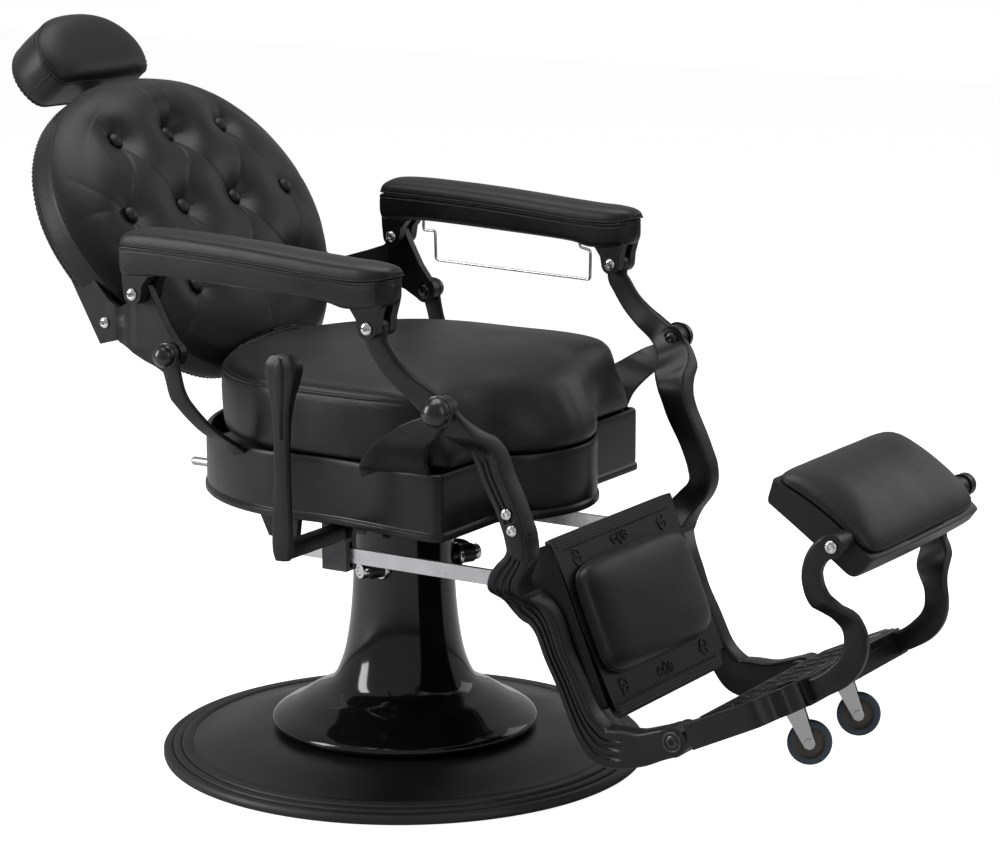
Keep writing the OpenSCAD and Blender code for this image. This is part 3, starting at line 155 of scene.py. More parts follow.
def lathe(profile, n=128, closed=False):
    """Vertices and faces of a profile of [radius, height] turned round Z."""
    q = np.asarray(profile, float)
    t = np.linspace(0, 2 * math.pi, n, endpoint=False)
    v = np.array([[r * math.cos(a), r * math.sin(a), z] for r, z in q for a in t])
    m = len(q)
    f = [(i * n + k, i * n + (k + 1) % n, ((i + 1) % m) * n + (k + 1) % n, ((i + 1) % m) * n + k)
         for i in range(m if closed else m - 1) for k in range(n)]
    return v, f


def onto(v, o, axis):
    """Turns points made round Z so that Z lies along axis, and puts them at o."""
    r = np.array(Vector((0, 0, 1)).rotation_difference(Vector(axis)).to_matrix())
    return np.asarray(v) @ r.T + np.asarray(o, float)


def slab(outline, y0, y1):
    """Plate with an outline in XZ, from y0 to y1."""
    q = np.asarray(outline, float)[:, :2]
    n = len(q)
    v = [[x, y, z] for y in (y0, y1) for x, z in q]
    return v, [tuple(range(n)), tuple(range(2 * n - 1, n - 1, -1))] + [(k, (k + 1) % n, n + (k + 1) % n, n + k) for k in range(n)]


def tube(path, r, n=16, bend=0):
    """Round bar along points, its corners rounded to radius bend."""
    p = [np.asarray(x, float) for x in path]
    q = [p[0]]
    for a, b, c in zip(p, p[1:], p[2:]):
        u, w = (a - b) / np.linalg.norm(a - b), (c - b) / np.linalg.norm(c - b)
        t = min(bend, 0.45 * np.linalg.norm(a - b), 0.45 * np.linalg.norm(c - b))
        q += [b + u * t * (1 - s) ** 2 + w * t * s ** 2 for s in np.linspace(0, 1, 9)] if t else [b]
    q = np.array(q + [p[-1]])
    rings, up = [], None
    for i in range(len(q)):
        d = q[min(i + 1, len(q) - 1)] - q[max(i - 1, 0)]
        d /= np.linalg.norm(d)
        up = np.cross(d, [0.3, 0.9, 0.2]) if up is None else up - d * (up @ d)
        up /= np.linalg.norm(up)
        s = np.cross(d, up)
        rings.append([q[i] + r * (up * math.cos(a) + s * math.sin(a)) for a in np.linspace(0, 2 * math.pi, n, endpoint=False)])
    return loft(rings)


def join(*parts):
    """Several (vertices, faces) as one."""
    v, f, o = [], [], 0
    for a, b in parts:
        v.append(np.asarray(a, float))
        f += [tuple(i + o for i in q) for q in b]
        o += len(a)
    return np.vstack(v), f


def sweep(line, lateral, r=4, grooves=(), span=(0, 0), depth=2.2, side=1, fade=4):
    """Cast arm: a rounded section along a path of [x, z, half width], or between two edges as [x, z, x, z].
    lateral is a path of [y, z, half thickness] that gives the place across at each height; grooves are cut in
    the outer face at [place across the width, half width], between two stations."""
    line, lat = np.asarray(line, float), np.asarray(lateral, float)
    lat = lat[np.argsort(lat[:, 1])]
    slope = np.gradient(lat[:, 0], lat[:, 1] + np.arange(len(lat)) * 1e-6)
    thick = lat[:, 2] * np.sqrt(1 + np.clip(slope, -1.6, 1.6) ** 2)
    yc = lambda z: np.interp(z, lat[:, 1], lat[:, 0])
    hh = lambda z: float(np.interp(z, lat[:, 1], thick))
    rings = []
    for i in range(len(line)):
        if line.shape[1] == 4:
            mid, nrm = (line[i, :2] + line[i, 2:]) / 2, (line[i, :2] - line[i, 2:]) / 2
            w = np.linalg.norm(nrm)
            nrm /= w
        else:
            d = line[min(i + 1, len(line) - 1), :2] - line[max(i - 1, 0), :2]
            d /= np.linalg.norm(d)
            mid, nrm, w = line[i, :2], np.array([-d[1], d[0]]), line[i, 2]
        h0 = hh(mid[1])
        rr = min(r, 0.45 * w, 0.8 * h0)
        on = min(1, max(0, (i - span[0]) / fade)) * min(1, max(0, (span[1] - i) / fade)) if span[1] > span[0] else 0
        sec = []
        for sx, sy, a0 in ((1, 1, 0), (-1, 1, 90), (-1, -1, 180), (1, -1, 270)):
            for k in range(5):
                a = math.radians(a0 + 22.5 * k)
                sec.append((sx * (w - rr) + rr * math.cos(a), sy * (h0 - rr) + rr * math.sin(a), 0))
            if (sx, sy) == (1, 1):
                for c, hw in sorted(grooves, reverse=True):
                    for s, e in ((1.3, 0), (0.9, 0.75), (0.6, 1), (-0.6, 1), (-0.9, 0.75), (-1.3, 0)):
                        sec.append(((c + s * hw) * (w - rr), h0, e * on * depth))
        ring = []
        for s, q, cut in sec:
            x, z = mid + nrm * s
            ring.append([x, side * (yc(z) + (q - cut) * hh(z) / h0), z])
        rings.append(ring)
    return loft(rings)


def disc(c, r, y0, y1, n=48):
    """Round boss along Y at c = (x, z)."""
    v, f = lathe([[0, 0], [r, 0], [r, abs(y1 - y0)], [0, abs(y1 - y0)]], n)
    return onto(v, (c[0], min(y0, y1), c[1]), (0, 1, 0)), f


# ---- materials ------------------------------------------------------------
def add(t, kind, props=(), **inputs):
    """A shader node with properties set and inputs given by name, or by place as i0, i1."""
    n = t.nodes.new("ShaderNode" + kind)
    for k, v in dict(props).items():
        setattr(n, k, v)
    for k, v in inputs.items():
        s = n.inputs[int(k[1:])] if k[0] == "i" and k[1:].isdigit() else n.inputs[k.replace("_", " ")]
        if isinstance(v, bpy.types.NodeSocket):
            t.links.new(v, s)
        else:
            s.default_value = v
    return n


def group(name, inputs, outputs, build):
    """A shared node group; build gets its tree and input sockets and returns the output sockets."""
    g = bpy.data.node_groups.new(name, "ShaderNodeTree")
    for n, v in inputs:
        kind = "NodeSocketVector" if isinstance(v, tuple) else "NodeSocketFloat"
        g.interface.new_socket(n, in_out="INPUT", socket_type=kind).default_value = v
    for n, kind in outputs:
        g.interface.new_socket(n, in_out="OUTPUT", socket_type=kind)
    src, dst = g.nodes.new("NodeGroupInput"), g.nodes.new("NodeGroupOutput")
    for s, o in zip(dst.inputs, build(g, src.outputs)):
        g.links.new(o, s)
    return g


def grain_tree(t, i):
    """Pebbled hide: cells of two sizes with fine pores, and a broad mottle."""
    at = add(t, "TexCoord").outputs["Object"]
    warp = add(t, "TexNoise", Vector=at, Scale=60.0, Detail=2.0)
    moved = add(t, "VectorMath", {"operation": "MULTIPLY_ADD"}, i0=warp.outputs[1], i1=(0.004, 0.004, 0.004), i2=at)
    cell = add(t, "TexVoronoi", {"feature": "SMOOTH_F1"}, Vector=moved.outputs[0], Scale=i[0])
    big = add(t, "Math", {"operation": "MULTIPLY"}, i0=i[0], i1=0.31)
    wide = add(t, "TexVoronoi", {"feature": "SMOOTH_F1"}, Vector=moved.outputs[0], Scale=big.outputs[0])
    pores = add(t, "TexNoise", Vector=at, Scale=2200.0, Detail=2.0)
    two = add(t, "Math", {"operation": "MULTIPLY_ADD"}, i0=wide.outputs[0], i1=0.6, i2=cell.outputs[0])
    both = add(t, "Math", {"operation": "MULTIPLY_ADD"}, i0=pores.outputs[0], i1=0.35, i2=two.outputs[0])
    down = add(t, "Math", {"operation": "SUBTRACT"}, i0=1.2, i1=both.outputs[0])
    broad = add(t, "TexNoise", Vector=at, Scale=i[1], Detail=4.0, Roughness=0.6)
    spread = add(t, "MapRange", Value=broad.outputs[0], From_Min=0.34, From_Max=0.66)
    return down.outputs[0], spread.outputs[0]


def peel_tree(t, i):
    """Sprayed or cast skin: low rounded lumps, fine grit, and a broad mottle."""
    at = add(t, "TexCoord").outputs["Object"]
    lump = add(t, "TexNoise", Vector=at, Scale=i[0], Detail=1.5, Roughness=0.4)
    grit = add(t, "TexNoise", Vector=at, Scale=3000.0, Detail=1.0)
    both = add(t, "Math", {"operation": "MULTIPLY_ADD"}, i0=grit.outputs[0], i1=0.25, i2=lump.outputs[0])
    broad = add(t, "TexNoise", Vector=at, Scale=i[1], Detail=5.0, Roughness=0.62)
    spread = add(t, "MapRange", Value=broad.outputs[0], From_Min=0.34, From_Max=0.66)
    return both.outputs[0], spread.outputs[0]


def edge_tree(t, i):
    """Rounded corners for shading, and how near a corner a point is: a mask that stands for wear and a painted
    highlight on the edges.
    """
    soft = add(t, "Bevel", {"samples": 6}, Radius=i[0]).outputs[0]
    true = add(t, "NewGeometry").outputs["Normal"]
    turn = add(t, "VectorMath", {"operation": "DOT_PRODUCT"}, i0=soft, i1=true).outputs[1]
    # Mask near corners that shifts the colour to the tone: wear plus a painted edge highlight.
    wear_and_highlight_mask = add(t, "MapRange", Value=turn, From_Min=0.995, From_Max=0.88)
    return soft, wear_and_highlight_mask.outputs[0]


FLOAT, VECTOR = "NodeSocketFloat", "NodeSocketVector"
grain = group("grain", [("Scale", 700.0), ("Mottle scale", 9.0)], [("Height", FLOAT), ("Mottle", FLOAT)], grain_tree)
peel = group("peel", [("Scale", 450.0), ("Mottle scale", 12.0)], [("Height", FLOAT), ("Mottle", FLOAT)], peel_tree)
edge = group("edge", [("Radius", 0.001)], [("Normal", VECTOR), ("Wear and edge highlight", FLOAT)], edge_tree)


def material(name, colour, tone, rough, vary=0.08, skin=peel, scale=450.0, height=0.00002, mottle=12.0,
             radius=0.0008, edge_wear_and_highlight=0.5, metal=0.0, coat=0.0, coat_rough=0.05, spec=0.5, sheen=0.0):
    """Colour drifts to tone over the mottle, and at corners for wear and a painted edge highlight; height in metres is
    the relief of the skin.
    """
    m = bpy.data.materials.new(name)
    m.use_nodes = True
    t = m.node_tree
    t.nodes.clear()
    s = t.nodes.new("ShaderNodeGroup")
    s.node_tree = skin
    s.inputs[0].default_value, s.inputs[1].default_value = scale, mottle
    e = t.nodes.new("ShaderNodeGroup")
    e.node_tree = edge
    e.inputs[0].default_value = radius
    part = add(t, "Math", {"operation": "MULTIPLY"}, i0=s.outputs[1], i1=0.6)
    # At corners the colour goes to the tone: wear plus a painted edge highlight, lighter on the paints and the leather.
    corner = add(t, "Math", {"operation": "MULTIPLY_ADD", "use_clamp": True}, i0=e.outputs[1], i1=edge_wear_and_highlight, i2=part.outputs[0])
    mix = add(t, "Mix", {"data_type": "RGBA"}, i0=corner.outputs[0], i6=(*colour, 1), i7=(*tone, 1))
    r0 = add(t, "MapRange", Value=s.outputs[1], To_Min=rough - vary, To_Max=rough + vary)
    bump = add(t, "Bump", Strength=1.0, Distance=height, Height=s.outputs[0], Normal=e.outputs[0])
    b = add(t, "BsdfPrincipled", Base_Color=mix.outputs[2], Roughness=r0.outputs[0], Metallic=metal, Normal=bump.outputs[0],
            Coat_Weight=coat, Coat_Roughness=coat_rough, Specular_IOR_Level=spec, Sheen_Weight=sheen, Sheen_Roughness=0.4)
    o = t.nodes.new("ShaderNodeOutputMaterial")
    t.links.new(b.outputs[0], o.inputs[0])
    return m


hide = material("leatherette", (0.0105, 0.0105, 0.011), (0.0165, 0.0165, 0.017), 0.40, 0.05, grain, 640.0, 0.00016, 7.0, 0.0004, 0.1, spec=0.34, sheen=0.04)
side_hide = material("leatherette_side", (0.008, 0.008, 0.0085), (0.013, 0.013, 0.0135), 0.43, 0.05, grain, 640.0, 0.00016, 7.0, 0.0004, 0.1, spec=0.34)
thread = material("thread", (0.024, 0.024, 0.024), (0.05, 0.05, 0.05), 0.6, 0.1, scale=5000.0, height=0.0001, edge_wear_and_highlight=0.2)
paint = material("cast_paint", (0.0085, 0.0086, 0.009), (0.019, 0.019, 0.02), 0.34, 0.06, scale=520.0, height=0.00006, radius=0.0011, edge_wear_and_highlight=0.45, spec=0.34)
steel_paint = material("sheet_paint", (0.009, 0.009, 0.0095), (0.018, 0.018, 0.019), 0.30, 0.05, scale=380.0, height=0.00004, radius=0.0008, edge_wear_and_highlight=0.4, spec=0.34)
disc_paint = material("base_paint", (0.008, 0.008, 0.0085), (0.015, 0.015, 0.016), 0.36, 0.06, scale=700.0, height=0.00005, mottle=6.0, edge_wear_and_highlight=0.3, spec=0.4)
gloss = material("cover_gloss", (0.0045, 0.0045, 0.005), (0.009, 0.009, 0.01), 0.12, 0.03, scale=160.0, height=0.00001, mottle=8.0, edge_wear_and_highlight=0.2, coat=0.35, coat_rough=0.02, spec=0.34)
knob = material("knob_gloss", (0.005, 0.005, 0.0055), (0.011, 0.011, 0.012), 0.27, 0.05, scale=300.0, height=0.00001, coat=0.4, coat_rough=0.16, edge_wear_and_highlight=0.3)
rubber = material("rim_rubber", (0.010, 0.010, 0.0105), (0.022, 0.022, 0.022), 0.50, 0.08, scale=900.0, height=0.00008, radius=0.0006, edge_wear_and_highlight=0.35)
chrome = material("chrome", (0.80, 0.80, 0.81), (0.62, 0.62, 0.63), 0.10, 0.05, scale=900.0, height=0.00001, edge_wear_and_highlight=0.2, metal=1.0)
zinc = material("zinc", (0.62, 0.62, 0.63), (0.40, 0.40, 0.41), 0.26, 0.08, scale=1300.0, height=0.00003, edge_wear_and_highlight=0.3, metal=1.0)
dark_steel = material("pump_steel", (0.045, 0.046, 0.048), (0.12, 0.12, 0.12), 0.32, 0.08, scale=900.0, height=0.00003, edge_wear_and_highlight=0.6, metal=0.8)
tyre = material("tyre_grey", (0.050, 0.068, 0.095), (0.085, 0.105, 0.135), 0.46, 0.08, scale=1200.0, height=0.00005, mottle=30.0, edge_wear_and_highlight=0.4)
hub = material("hub_plastic", (0.085, 0.075, 0.062), (0.14, 0.125, 0.105), 0.42, 0.06, scale=900.0, height=0.00004, mottle=30.0)


def dress(mat, *nodes):
    """Gives CAD nodes that stay a material."""
    for n in nodes:
        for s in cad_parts[n].material_slots:
            s.material = mat


# ---- base -----------------------------------------------------------------
# Domed plate, turned, with a faint step where it meets the cover.
v, f = lathe([[40, 3], [60, 3], [268, 8], [276, 2], [289.9, 2], [289.9, 18]]
             + [[288 - 113 * t, 19 + 18 * math.sin(math.pi / 2 * t) ** 1.25] for t in np.linspace(0, 1, 24)]
             + [[60, 39], [60, 44], [40, 44]], 256)
piece("base_plate_disc", v, f, disc_paint, "base", "base_plate", smooth=30)
# Rubber rim: three rounded steps rising inward, each with a fine groove at its foot.
prof = [[290, 0.2], [326, 0], [329, 1.2], [330, 4], [330, 9]]
for k in range(3):
    x, z, w, s = 329 - 12 * k, 10 + 3 * k, 12, 3
    prof += [[x, z], [x - 0.5, z + s * 0.5], [x - 1.6, z + s * 0.85], [x - 3.5, z + s], [x - w + 3, z + s], [x - w + 1.4, z + s - 0.5], [x - w + 0.6, z + s - 1.6], [x - w, z + s - 1.6]]
v, f = lathe(prof + [[290.2, 18.8], [290, 18]], 256, closed=True)
piece("base_rim_ring", v, f, rubber, "base", "base_rim", smooth=50)
# Flared column cover, high gloss, with the rolled skirt and a thin seam ring at its foot.
prof = curve([[175, 40], [180.5, 45], [180, 51], [171, 58], [152.5, 68], [130.5, 81.5], [111.5, 91], [97.5, 102], [87, 123],
              [79.5, 149], [73.5, 188], [70, 230], [68.5, 275], [68.5, 323], [67.6, 325]], 8)
v, f = lathe(list(prof) + [[65.6, 325], [65.6, 275], [67, 230], [70.5, 188], [76, 149], [83.5, 123], [94, 100], [108, 88], [127, 78.5], [149, 64], [168, 54], [175, 48], [172, 40]], 256, closed=True)
piece("column_cover_shell", v, f, gloss, "base", "column_cover", smooth=60)
dress(dark_steel, "pump_cylinder", "pump_head", "pump_shaft")
dress(chrome, "ram")
# Collars where the pump shaft leaves the cover, with a domed cap and a slot ring.
turn = math.radians(66.9)
out = np.array([math.cos(turn), math.sin(turn), 0])
mid = np.array([37.5 * math.sin(turn), -37.5 * math.cos(turn), 271])
v, f = join(*[(onto(lathe([[8.1, 0], [15.5, 0], [16.5, 1], [16.5, 4.5], [15.2, 6], [13.2, 6], [13.2, 2.5], [8.1, 2.5]], 48, True)[0], mid + out * s * 57.5, out * s),
               lathe([[8.1, 0], [15.5, 0], [16.5, 1], [16.5, 4.5], [15.2, 6], [13.2, 6], [13.2, 2.5], [8.1, 2.5]], 48, True)[1]) for s in (1, -1)])
piece("pump_shaft_collars", v, f, chrome, "base", (), smooth=35)
# Pedal: one bent round bar, polished, on two eye discs of the shaft.
path = [[0, -1, 0], [-24, -1, 9], [-236, -0.78, -20], [-266, 0.14, -20], [-24, 1, 9], [0, 1, 0]]
place = lambda p: out * p[1] * 90 + np.array([-math.sin(turn), math.cos(turn), 0]) * (-37.5 - p[0]) + [0, 0, 271 + p[2]]
eye_cap = lathe([[0, 0], [11, 0], [11, 8.6], [10, 10], [6, 10], [5.4, 9], [0, 9]], 40)
v, f = join(tube([place(p) for p in path], 4.5, 20, 22), *[(onto(eye_cap[0], mid + out * s * 85.3, out * s), eye_cap[1]) for s in (1, -1)])
piece("pump_pedal_bar", v, f, chrome, "pedal", "pump_pedal", smooth=40)

# ---- seat frame and apron -------------------------------------------------
HALF, BOW, FRONT, FIL = 245, (141, 140), 222, 18
FIL_Y = math.sqrt((BOW[1] + FIL) ** 2 - (FRONT + FIL - BOW[0]) ** 2)


def half_plan(d, rc, side, rear):
    """Half of the seat's plan set in by d: bowed front, hollow shoulders, square corners, round rear."""
    t = math.atan2(FIL_Y, FRONT + FIL - BOW[0])
    arc = lambda cx, cy, rx, ry, a0, a1, n: [[cx + rx * math.cos(a), cy + ry * math.sin(a)] for a in np.linspace(a0, a1, n)]
    x1 = FRONT - rc
    return (arc(BOW[0], 0, BOW[1] - d, BOW[1] - d, 0, t, 14) + arc(FRONT + FIL, FIL_Y, FIL + d, FIL + d, math.pi + t, math.pi, 7)[1:]
            + arc(x1, side(x1) - rc, rc - d, rc - d, 0, math.pi / 2, 8) + [[x, side(x) - d] for x in np.linspace(x1, -25, 22)[1:]]
            + arc(-25, 0, rear - d, side(-25) - d, math.pi / 2, math.pi, 26)[1:])


def full(half, z, n=0):
    """Closed ring at height z from a half plan, front to rear."""
    q = half + [[p[0], -p[1]] for p in half[-2:0:-1]]
    q = even(q, n) if n else np.array(q)
    return np.column_stack([q, np.broadcast_to(z, len(q))])


apron = lambda d: half_plan(d, 12, lambda x: HALF - 7 * math.cos(math.radians((x - 45) * 180 / 155)), HALF - 1)
# Cast apron: flanged foot, shallow cove over it, rolled top edge, walls hollow behind.
rows = [[7, 370.5], [-1, 370], [-2.4, 371.5], [-2.5, 376], [-2, 378.4], [-0.6, 379.6], [0.5, 381.5], [0, 385], [0, 446], [0.1, 451], [0.9, 454.6],
        [2.6, 456], [5.4, 456], [7, 454.5], [7, 440], [7, 381]]
v, f = loft([full(apron(d), z) for d, z in rows] , caps=False)
n = len(full(apron(0), 0))
f += [((len(rows) - 1) * n + a, (len(rows) - 1) * n + (a + 1) % n, (a + 1) % n, a) for a in range(n)]
piece("seat_apron_band", v, f, steel_paint, "seat", "seat_apron", smooth=35)
dress(paint, "seat_frame", "lever_bracket")
dress(dark_steel, "lock_right", "lock_left")
dress(zinc, "pull_rod")

# ---- cast brackets and arms over the seat ---------------------------------
fan_o = FRONT_Y + 9.8
left_edge = curve([[-157.4, -101], [-148.4, -88], [-121.4, -64], [-87.4, -42], [-53.1, -21], [-20, -6], [-8, 8]], 6)
right_edge = curve([[-49.4, -101], [-47, -80], [-40, -66], [-28, -51], [-11.4, -38], [3, -22], [12, -6]], 6)
fan_lat = curve([[230, 378, 3.5], [230, 420, 3.5], [233, 440, 3.5], [248, 457, 3.5], [267, 482, 3.5], [286, 504, 3.5], [fan_o - 2, 524, 3.5], [fan_o, 536, 3.5], [fan_o, 640, 3.5]], 3)
fan = np.hstack([right_edge, left_edge]) + [*D, *D]
fan = np.vstack([[D[0] - 37, 380, D[0] - 157.4, 380], [D[0] - 43, 414, D[0] - 157.4, 414], fan])
rear_o = WING_Y + 9.8
rear = curve([[A[0] + x, A[1] + z, w] for x, z, w in [[0, 6, 13], [0, 0, 15], [7, -27, 13], [13, -48, 13], [23, -66, 13], [32, -83, 13], [39, -98, 13], [47.5, -115, 13.5], [53, -131, 14]]] + [[-102, 420, 14], [-102, 380, 14]], 4)
rear_lat = curve([[214, 378, 3.5], [214, 420, 3.5], [218, 436, 3.5], [238, 452, 3.5], [258, 466, 3.5], [278, 482, 3.5], [293, 500, 3.5], [rear_o - 2, 520, 3.5], [rear_o, 535, 3.5], [rear_o, 640, 3.5]], 3)
# The upper and lower arms share one path, a knee behind the calf plate between them.
leg_line = curve([[*C, 14]] + along(C, D, [[0.1, -13.5, 14.5], [0.2, -16.4, 15], [0.4, -19.6, 15], [0.6, -16.9, 15.5], [0.8, -11.4, 17.5]])
                 + along(D, E, [[0.012, -5.8, 20], [0.083, -2.4, 20], [0.145, -6.2, 19], [0.206, -12.6, 18], [0.279, -16.2, 17], [0.339, -21.5, 17],
                                [0.365, -25, 17.5], [0.397, -32.8, 17], [0.417, -46.2, 17], [0.43, -64.6, 19], [0.447, -80.9, 22], [0.472, -92.5, 24], [0.511, -94.4, 23],
                                [0.548, -88.2, 20], [0.593, -88.1, 17], [0.661, -94.7, 16], [0.737, -98.3, 16], [0.824, -104.2, 17], [0.88, -103.5, 21], [0.926, -95.5, 25],
                                [0.954, -74.1, 25], [0.977, -49.5, 22], [0.989, -23.8, 20]]) + [[*E, 19.5]], 6)
LOW, KNEE, SPLIT = 195, 235, 72
lo = LOW - 15
bow_line = curve([[297, 720, 6], [297, 646, 6], [295.5, 600, 6], [292.5, 578, 6], [289, 562, 6], [289, 546, 6], [283, 534, 8], [270, 520, 11], [251, 507, 13], [238, 490, 15], [235, 465, 15],
                  [235, 370, 15], [232, 345, 15], [218, 322, 15], [lo + 9, 300, 15], [lo + 1, 282, 15], [lo, 262, 15], [lo, 200, 15], [lo, 60, 15]], 4)
for s, side in ((1, "left"), (-1, "right")):
    v, f = join(sweep(fan, fan_lat, 2.4, side=s), disc(D, 18, s * (fan_o - 3.5), s * (fan_o + 3.5)))
    piece("front_bracket_cast_" + side, v, f, paint, "seat", "front_bracket_" + side, smooth=42)
    v, f = join(sweep(rear, rear_lat, 3, side=s), disc(A, 16, s * (rear_o - 3.5), s * (rear_o + 3.5)))
    piece("rear_arm_cast_" + side, v, f, paint, "seat", "rear_arm_" + side, smooth=42)
    # Two flutes run down the outer face of each arm and stop at the splice.
    v, f = join(sweep(leg_line[:SPLIT + 1], bow_line, 4.5, ((-0.45, 0.15), (0.12, 0.15)), (44, SPLIT - 3), 2.4, s),
                disc(C, 14, s * 291.4, s * 302.6), disc(D, 18, s * 283.2, s * 294.8))
    piece("front_arm_cast_" + side, v, f, paint, "leg_rest", "front_arm_" + side, smooth=42)
    v, f = join(sweep(leg_line[SPLIT:], bow_line, 5, ((-0.5, 0.14), (0.1, 0.14), (0.58, 0.06)), (6, len(leg_line) - SPLIT - 18), 2.8, s),
                disc(E, 19.5, s * 165.4, s * 194.6), disc(P, 12, s * 166.3, s * 203))
    piece("leg_frame_cast_" + side, v, f, paint, "leg_rest", "leg_frame_" + side, smooth=42)
    # Raised block at the splice, with the two screws through it.
    q = leg_line[SPLIT - 8:SPLIT + 9].copy()
    q[:, 2] *= 0.72
    lat = bow_line + [1.7, 0, 0]
    v, f = sweep(q, lat, 4, side=s)
    piece("splice_block_" + side, v, f, paint, "leg_rest", (), smooth=42)

# ---- pivots, lever and links ----------------------------------------------
def ball(r, n=16):
    """Profile of a ball knob on a washer, standing on z = 0."""
    return [[0, 0], [r + 1.5, 0], [r + 1.5, 1], [r + 0.8, 1.8], [r * 0.86, 2]] + [[max(r * math.cos(a), 0), 5 + r * math.sin(a)] for a in np.linspace(-0.15, math.pi / 2, n)]


parts = []
for s in (1, -1):
    for p, y, r in ((A, WING_Y, 15.2), (D, FRONT_Y, 19)):
        v, f = lathe(ball(r), 56)
        parts.append((onto(v, (p[0], s * (y + 13.45), p[1]), (0, s, 0)), f))
        v, f = lathe([[0, 0], [12, 0], [12, 1], [8.5, 1.2], [8.4, 2.4], [7.4, 3.4], [5, 4.1], [3.1, 4.2], [3.1, 2], [0, 2]], 36)
        parts.append((onto(v, (p[0], s * (y - 6.3), p[1]), (0, -s, 0)), f))
        parts.append(disc(p, 8, s * (y - 6.3), s * (y + 13.4), 32))
v, f = join(*parts)
piece("seat_pivot_knobs", v, f, knob, "seat", "seat_pivots", smooth=50)
# Recline lever: a flat blade that swells into a paddle with a raised rib on its face.
lever_line = curve([[42.5, 343, 8], [42.5, 344.5, 10.5], [43, 349, 12.5], [43.5, 358, 14.5], [44, 374, 15], [44.5, 405, 13.5], [45, 440, 12], [45, 480, 11.5], [45.5, 520, 12], [46.5, 550, 15], [48, 572, 20], [49, 590, 23], [49.5, 600, 20.5], [50, 606, 14], [50, 609, 6]], 6)
lever_lat = curve([[337.5, 340, 5], [338, 365, 5], [338.5, 400, 4.2], [338.5, 440, 4.2], [338.3, 500, 5], [338, 540, 7.5], [338, 570, 10.5], [338, 592, 11.5], [338, 604, 9], [338, 612, 5]], 4)
# Its foot is a rounded bar turned in under the seat.
box_ = [[12 * np.sign(math.cos(a)) * abs(math.cos(a)) ** 0.45, 10.6 * np.sign(math.sin(a)) * abs(math.sin(a)) ** 0.45] for a in np.linspace(0, 2 * math.pi, 28, endpoint=False)]
foot_bar = loft([[[42 + a * k, y, 354 + b * k] for a, b in box_] for y, k in ((-342.5, 0.5), (-341.5, 0.8), (-339, 0.94), (-334, 1), (-270, 1), (-214, 1), (-210, 0.97), (-208.6, 0.85))])
rib = curve([[45.5, 500, 3], [46, 530, 4.5], [47, 560, 8], [48.5, 585, 9], [49, 598, 6], [49.5, 603, 2.5]], 6)
rib_lat = lever_lat + [1.4, 0, 1.0]
v, f = join(sweep(lever_line, lever_lat, 4, side=-1), sweep(rib, rib_lat, 4, side=-1),
            foot_bar, disc((42, 354), 9, -208.6, -196.5), disc((42, 354), 6, -196.6, -167.5))
piece("recline_lever_blade", v, f, paint, "lever", "recline_lever", smooth=42)
dress(zinc, "link_bar_right", "link_bar_left")

# ---- back -----------------------------------------------------------------
BACK_C, BACK_T = (A[0] - 194, A[1] + 137.3), 33.5
on_back = tilt(BACK_C, BACK_T)
MID = -16.5
half = [[0, -240], [50, -238], [105, -228], [155, -201], [200, -156], [235, -102], [256, -50], [263, 5], [253, 58], [224, 113], [176, 160], [120, 189], [60, 203], [0, 207]]
back_out = even(loop(mirrored(half), 8), 416)
rows_y = [[-117, 0, 117], [-175, -58.5, 58.5, 175], [-117, 0, 117]]
seats = [[25, 20, 25], [35, 30, 30, 35], [33, 28, 33]]
buttons = [(y, z, n) for ys, z, ns in zip(rows_y, (107, -5, -120), seats) for y, n in zip(ys, ns)]
# Pleats: from button or edge to button or edge, how far the line bows, and its depth.
T, M, L = buttons[:3], buttons[3:7], buttons[7:]
pleats = [(T[0], M[0], 8, 4.6), (T[0], M[1], -9, 3.4), (T[1], M[1], 9, 4.8), (T[1], M[2], -9, 4.8), (T[2], M[2], 9, 4.0), (T[2], M[3], -8, 3.6),
          (M[0], L[0], -8, 3.4), (M[1], L[0], 9, 3.6), (M[1], L[1], -9, 3.6), (M[2], L[1], 9, 4.0), (M[2], L[2], -9, 4.2), (M[3], L[2], 8, 3.4),
          (T[0], (-150, 176), 4, 3.6), (T[1], (-22, 206), 4, 4.0), (T[1], (34, 206), -4, 2.6), (T[2], (146, 178), -4, 3.2), (M[0], (-262, 8), -6, 4.0), (M[3], (262, 10), 6, 3.4),
          (M[0], (-236, 70), 4, 2.2), (L[0], (-176, -186), 4, 3.2), (L[1], (-10, -240), 3, 3.2), (L[2], (176, -186), -4, 3.2), (M[0], (-232, -100), 4, 2.6), (M[3], (234, -98), -4, 2.6)]


def crease(y, z, a, b, bow, depth):
    """Depth of a sewn-in pleat: a sharp fold with soft shoulders that shallows away from its buttons."""
    p, q = np.array(a[:2], float), np.array(b[:2], float)
    d = q - p
    n = np.linalg.norm(d)
    u, w = d / n, np.array([-d[1], d[0]]) / n
    t = np.clip(((y - p[0]) * u[0] + (z - p[1]) * u[1]) / n, 0, 1)
    off = (y - p[0]) * w[0] + (z - p[1]) * w[1] - bow * 4 * t * (1 - t)
    along_ = np.maximum(0, np.abs(((y - p[0]) * u[0] + (z - p[1]) * u[1]) / n - 0.5) - 0.5) * n
    r = np.sqrt(off ** 2 + along_ ** 2 + 1.0) - 1.0
    return depth * (0.5 + 0.5 * np.abs(2 * t - 1)) * (0.36 * np.exp(-r / 1.5) + 0.3 * np.exp(-r / 10))


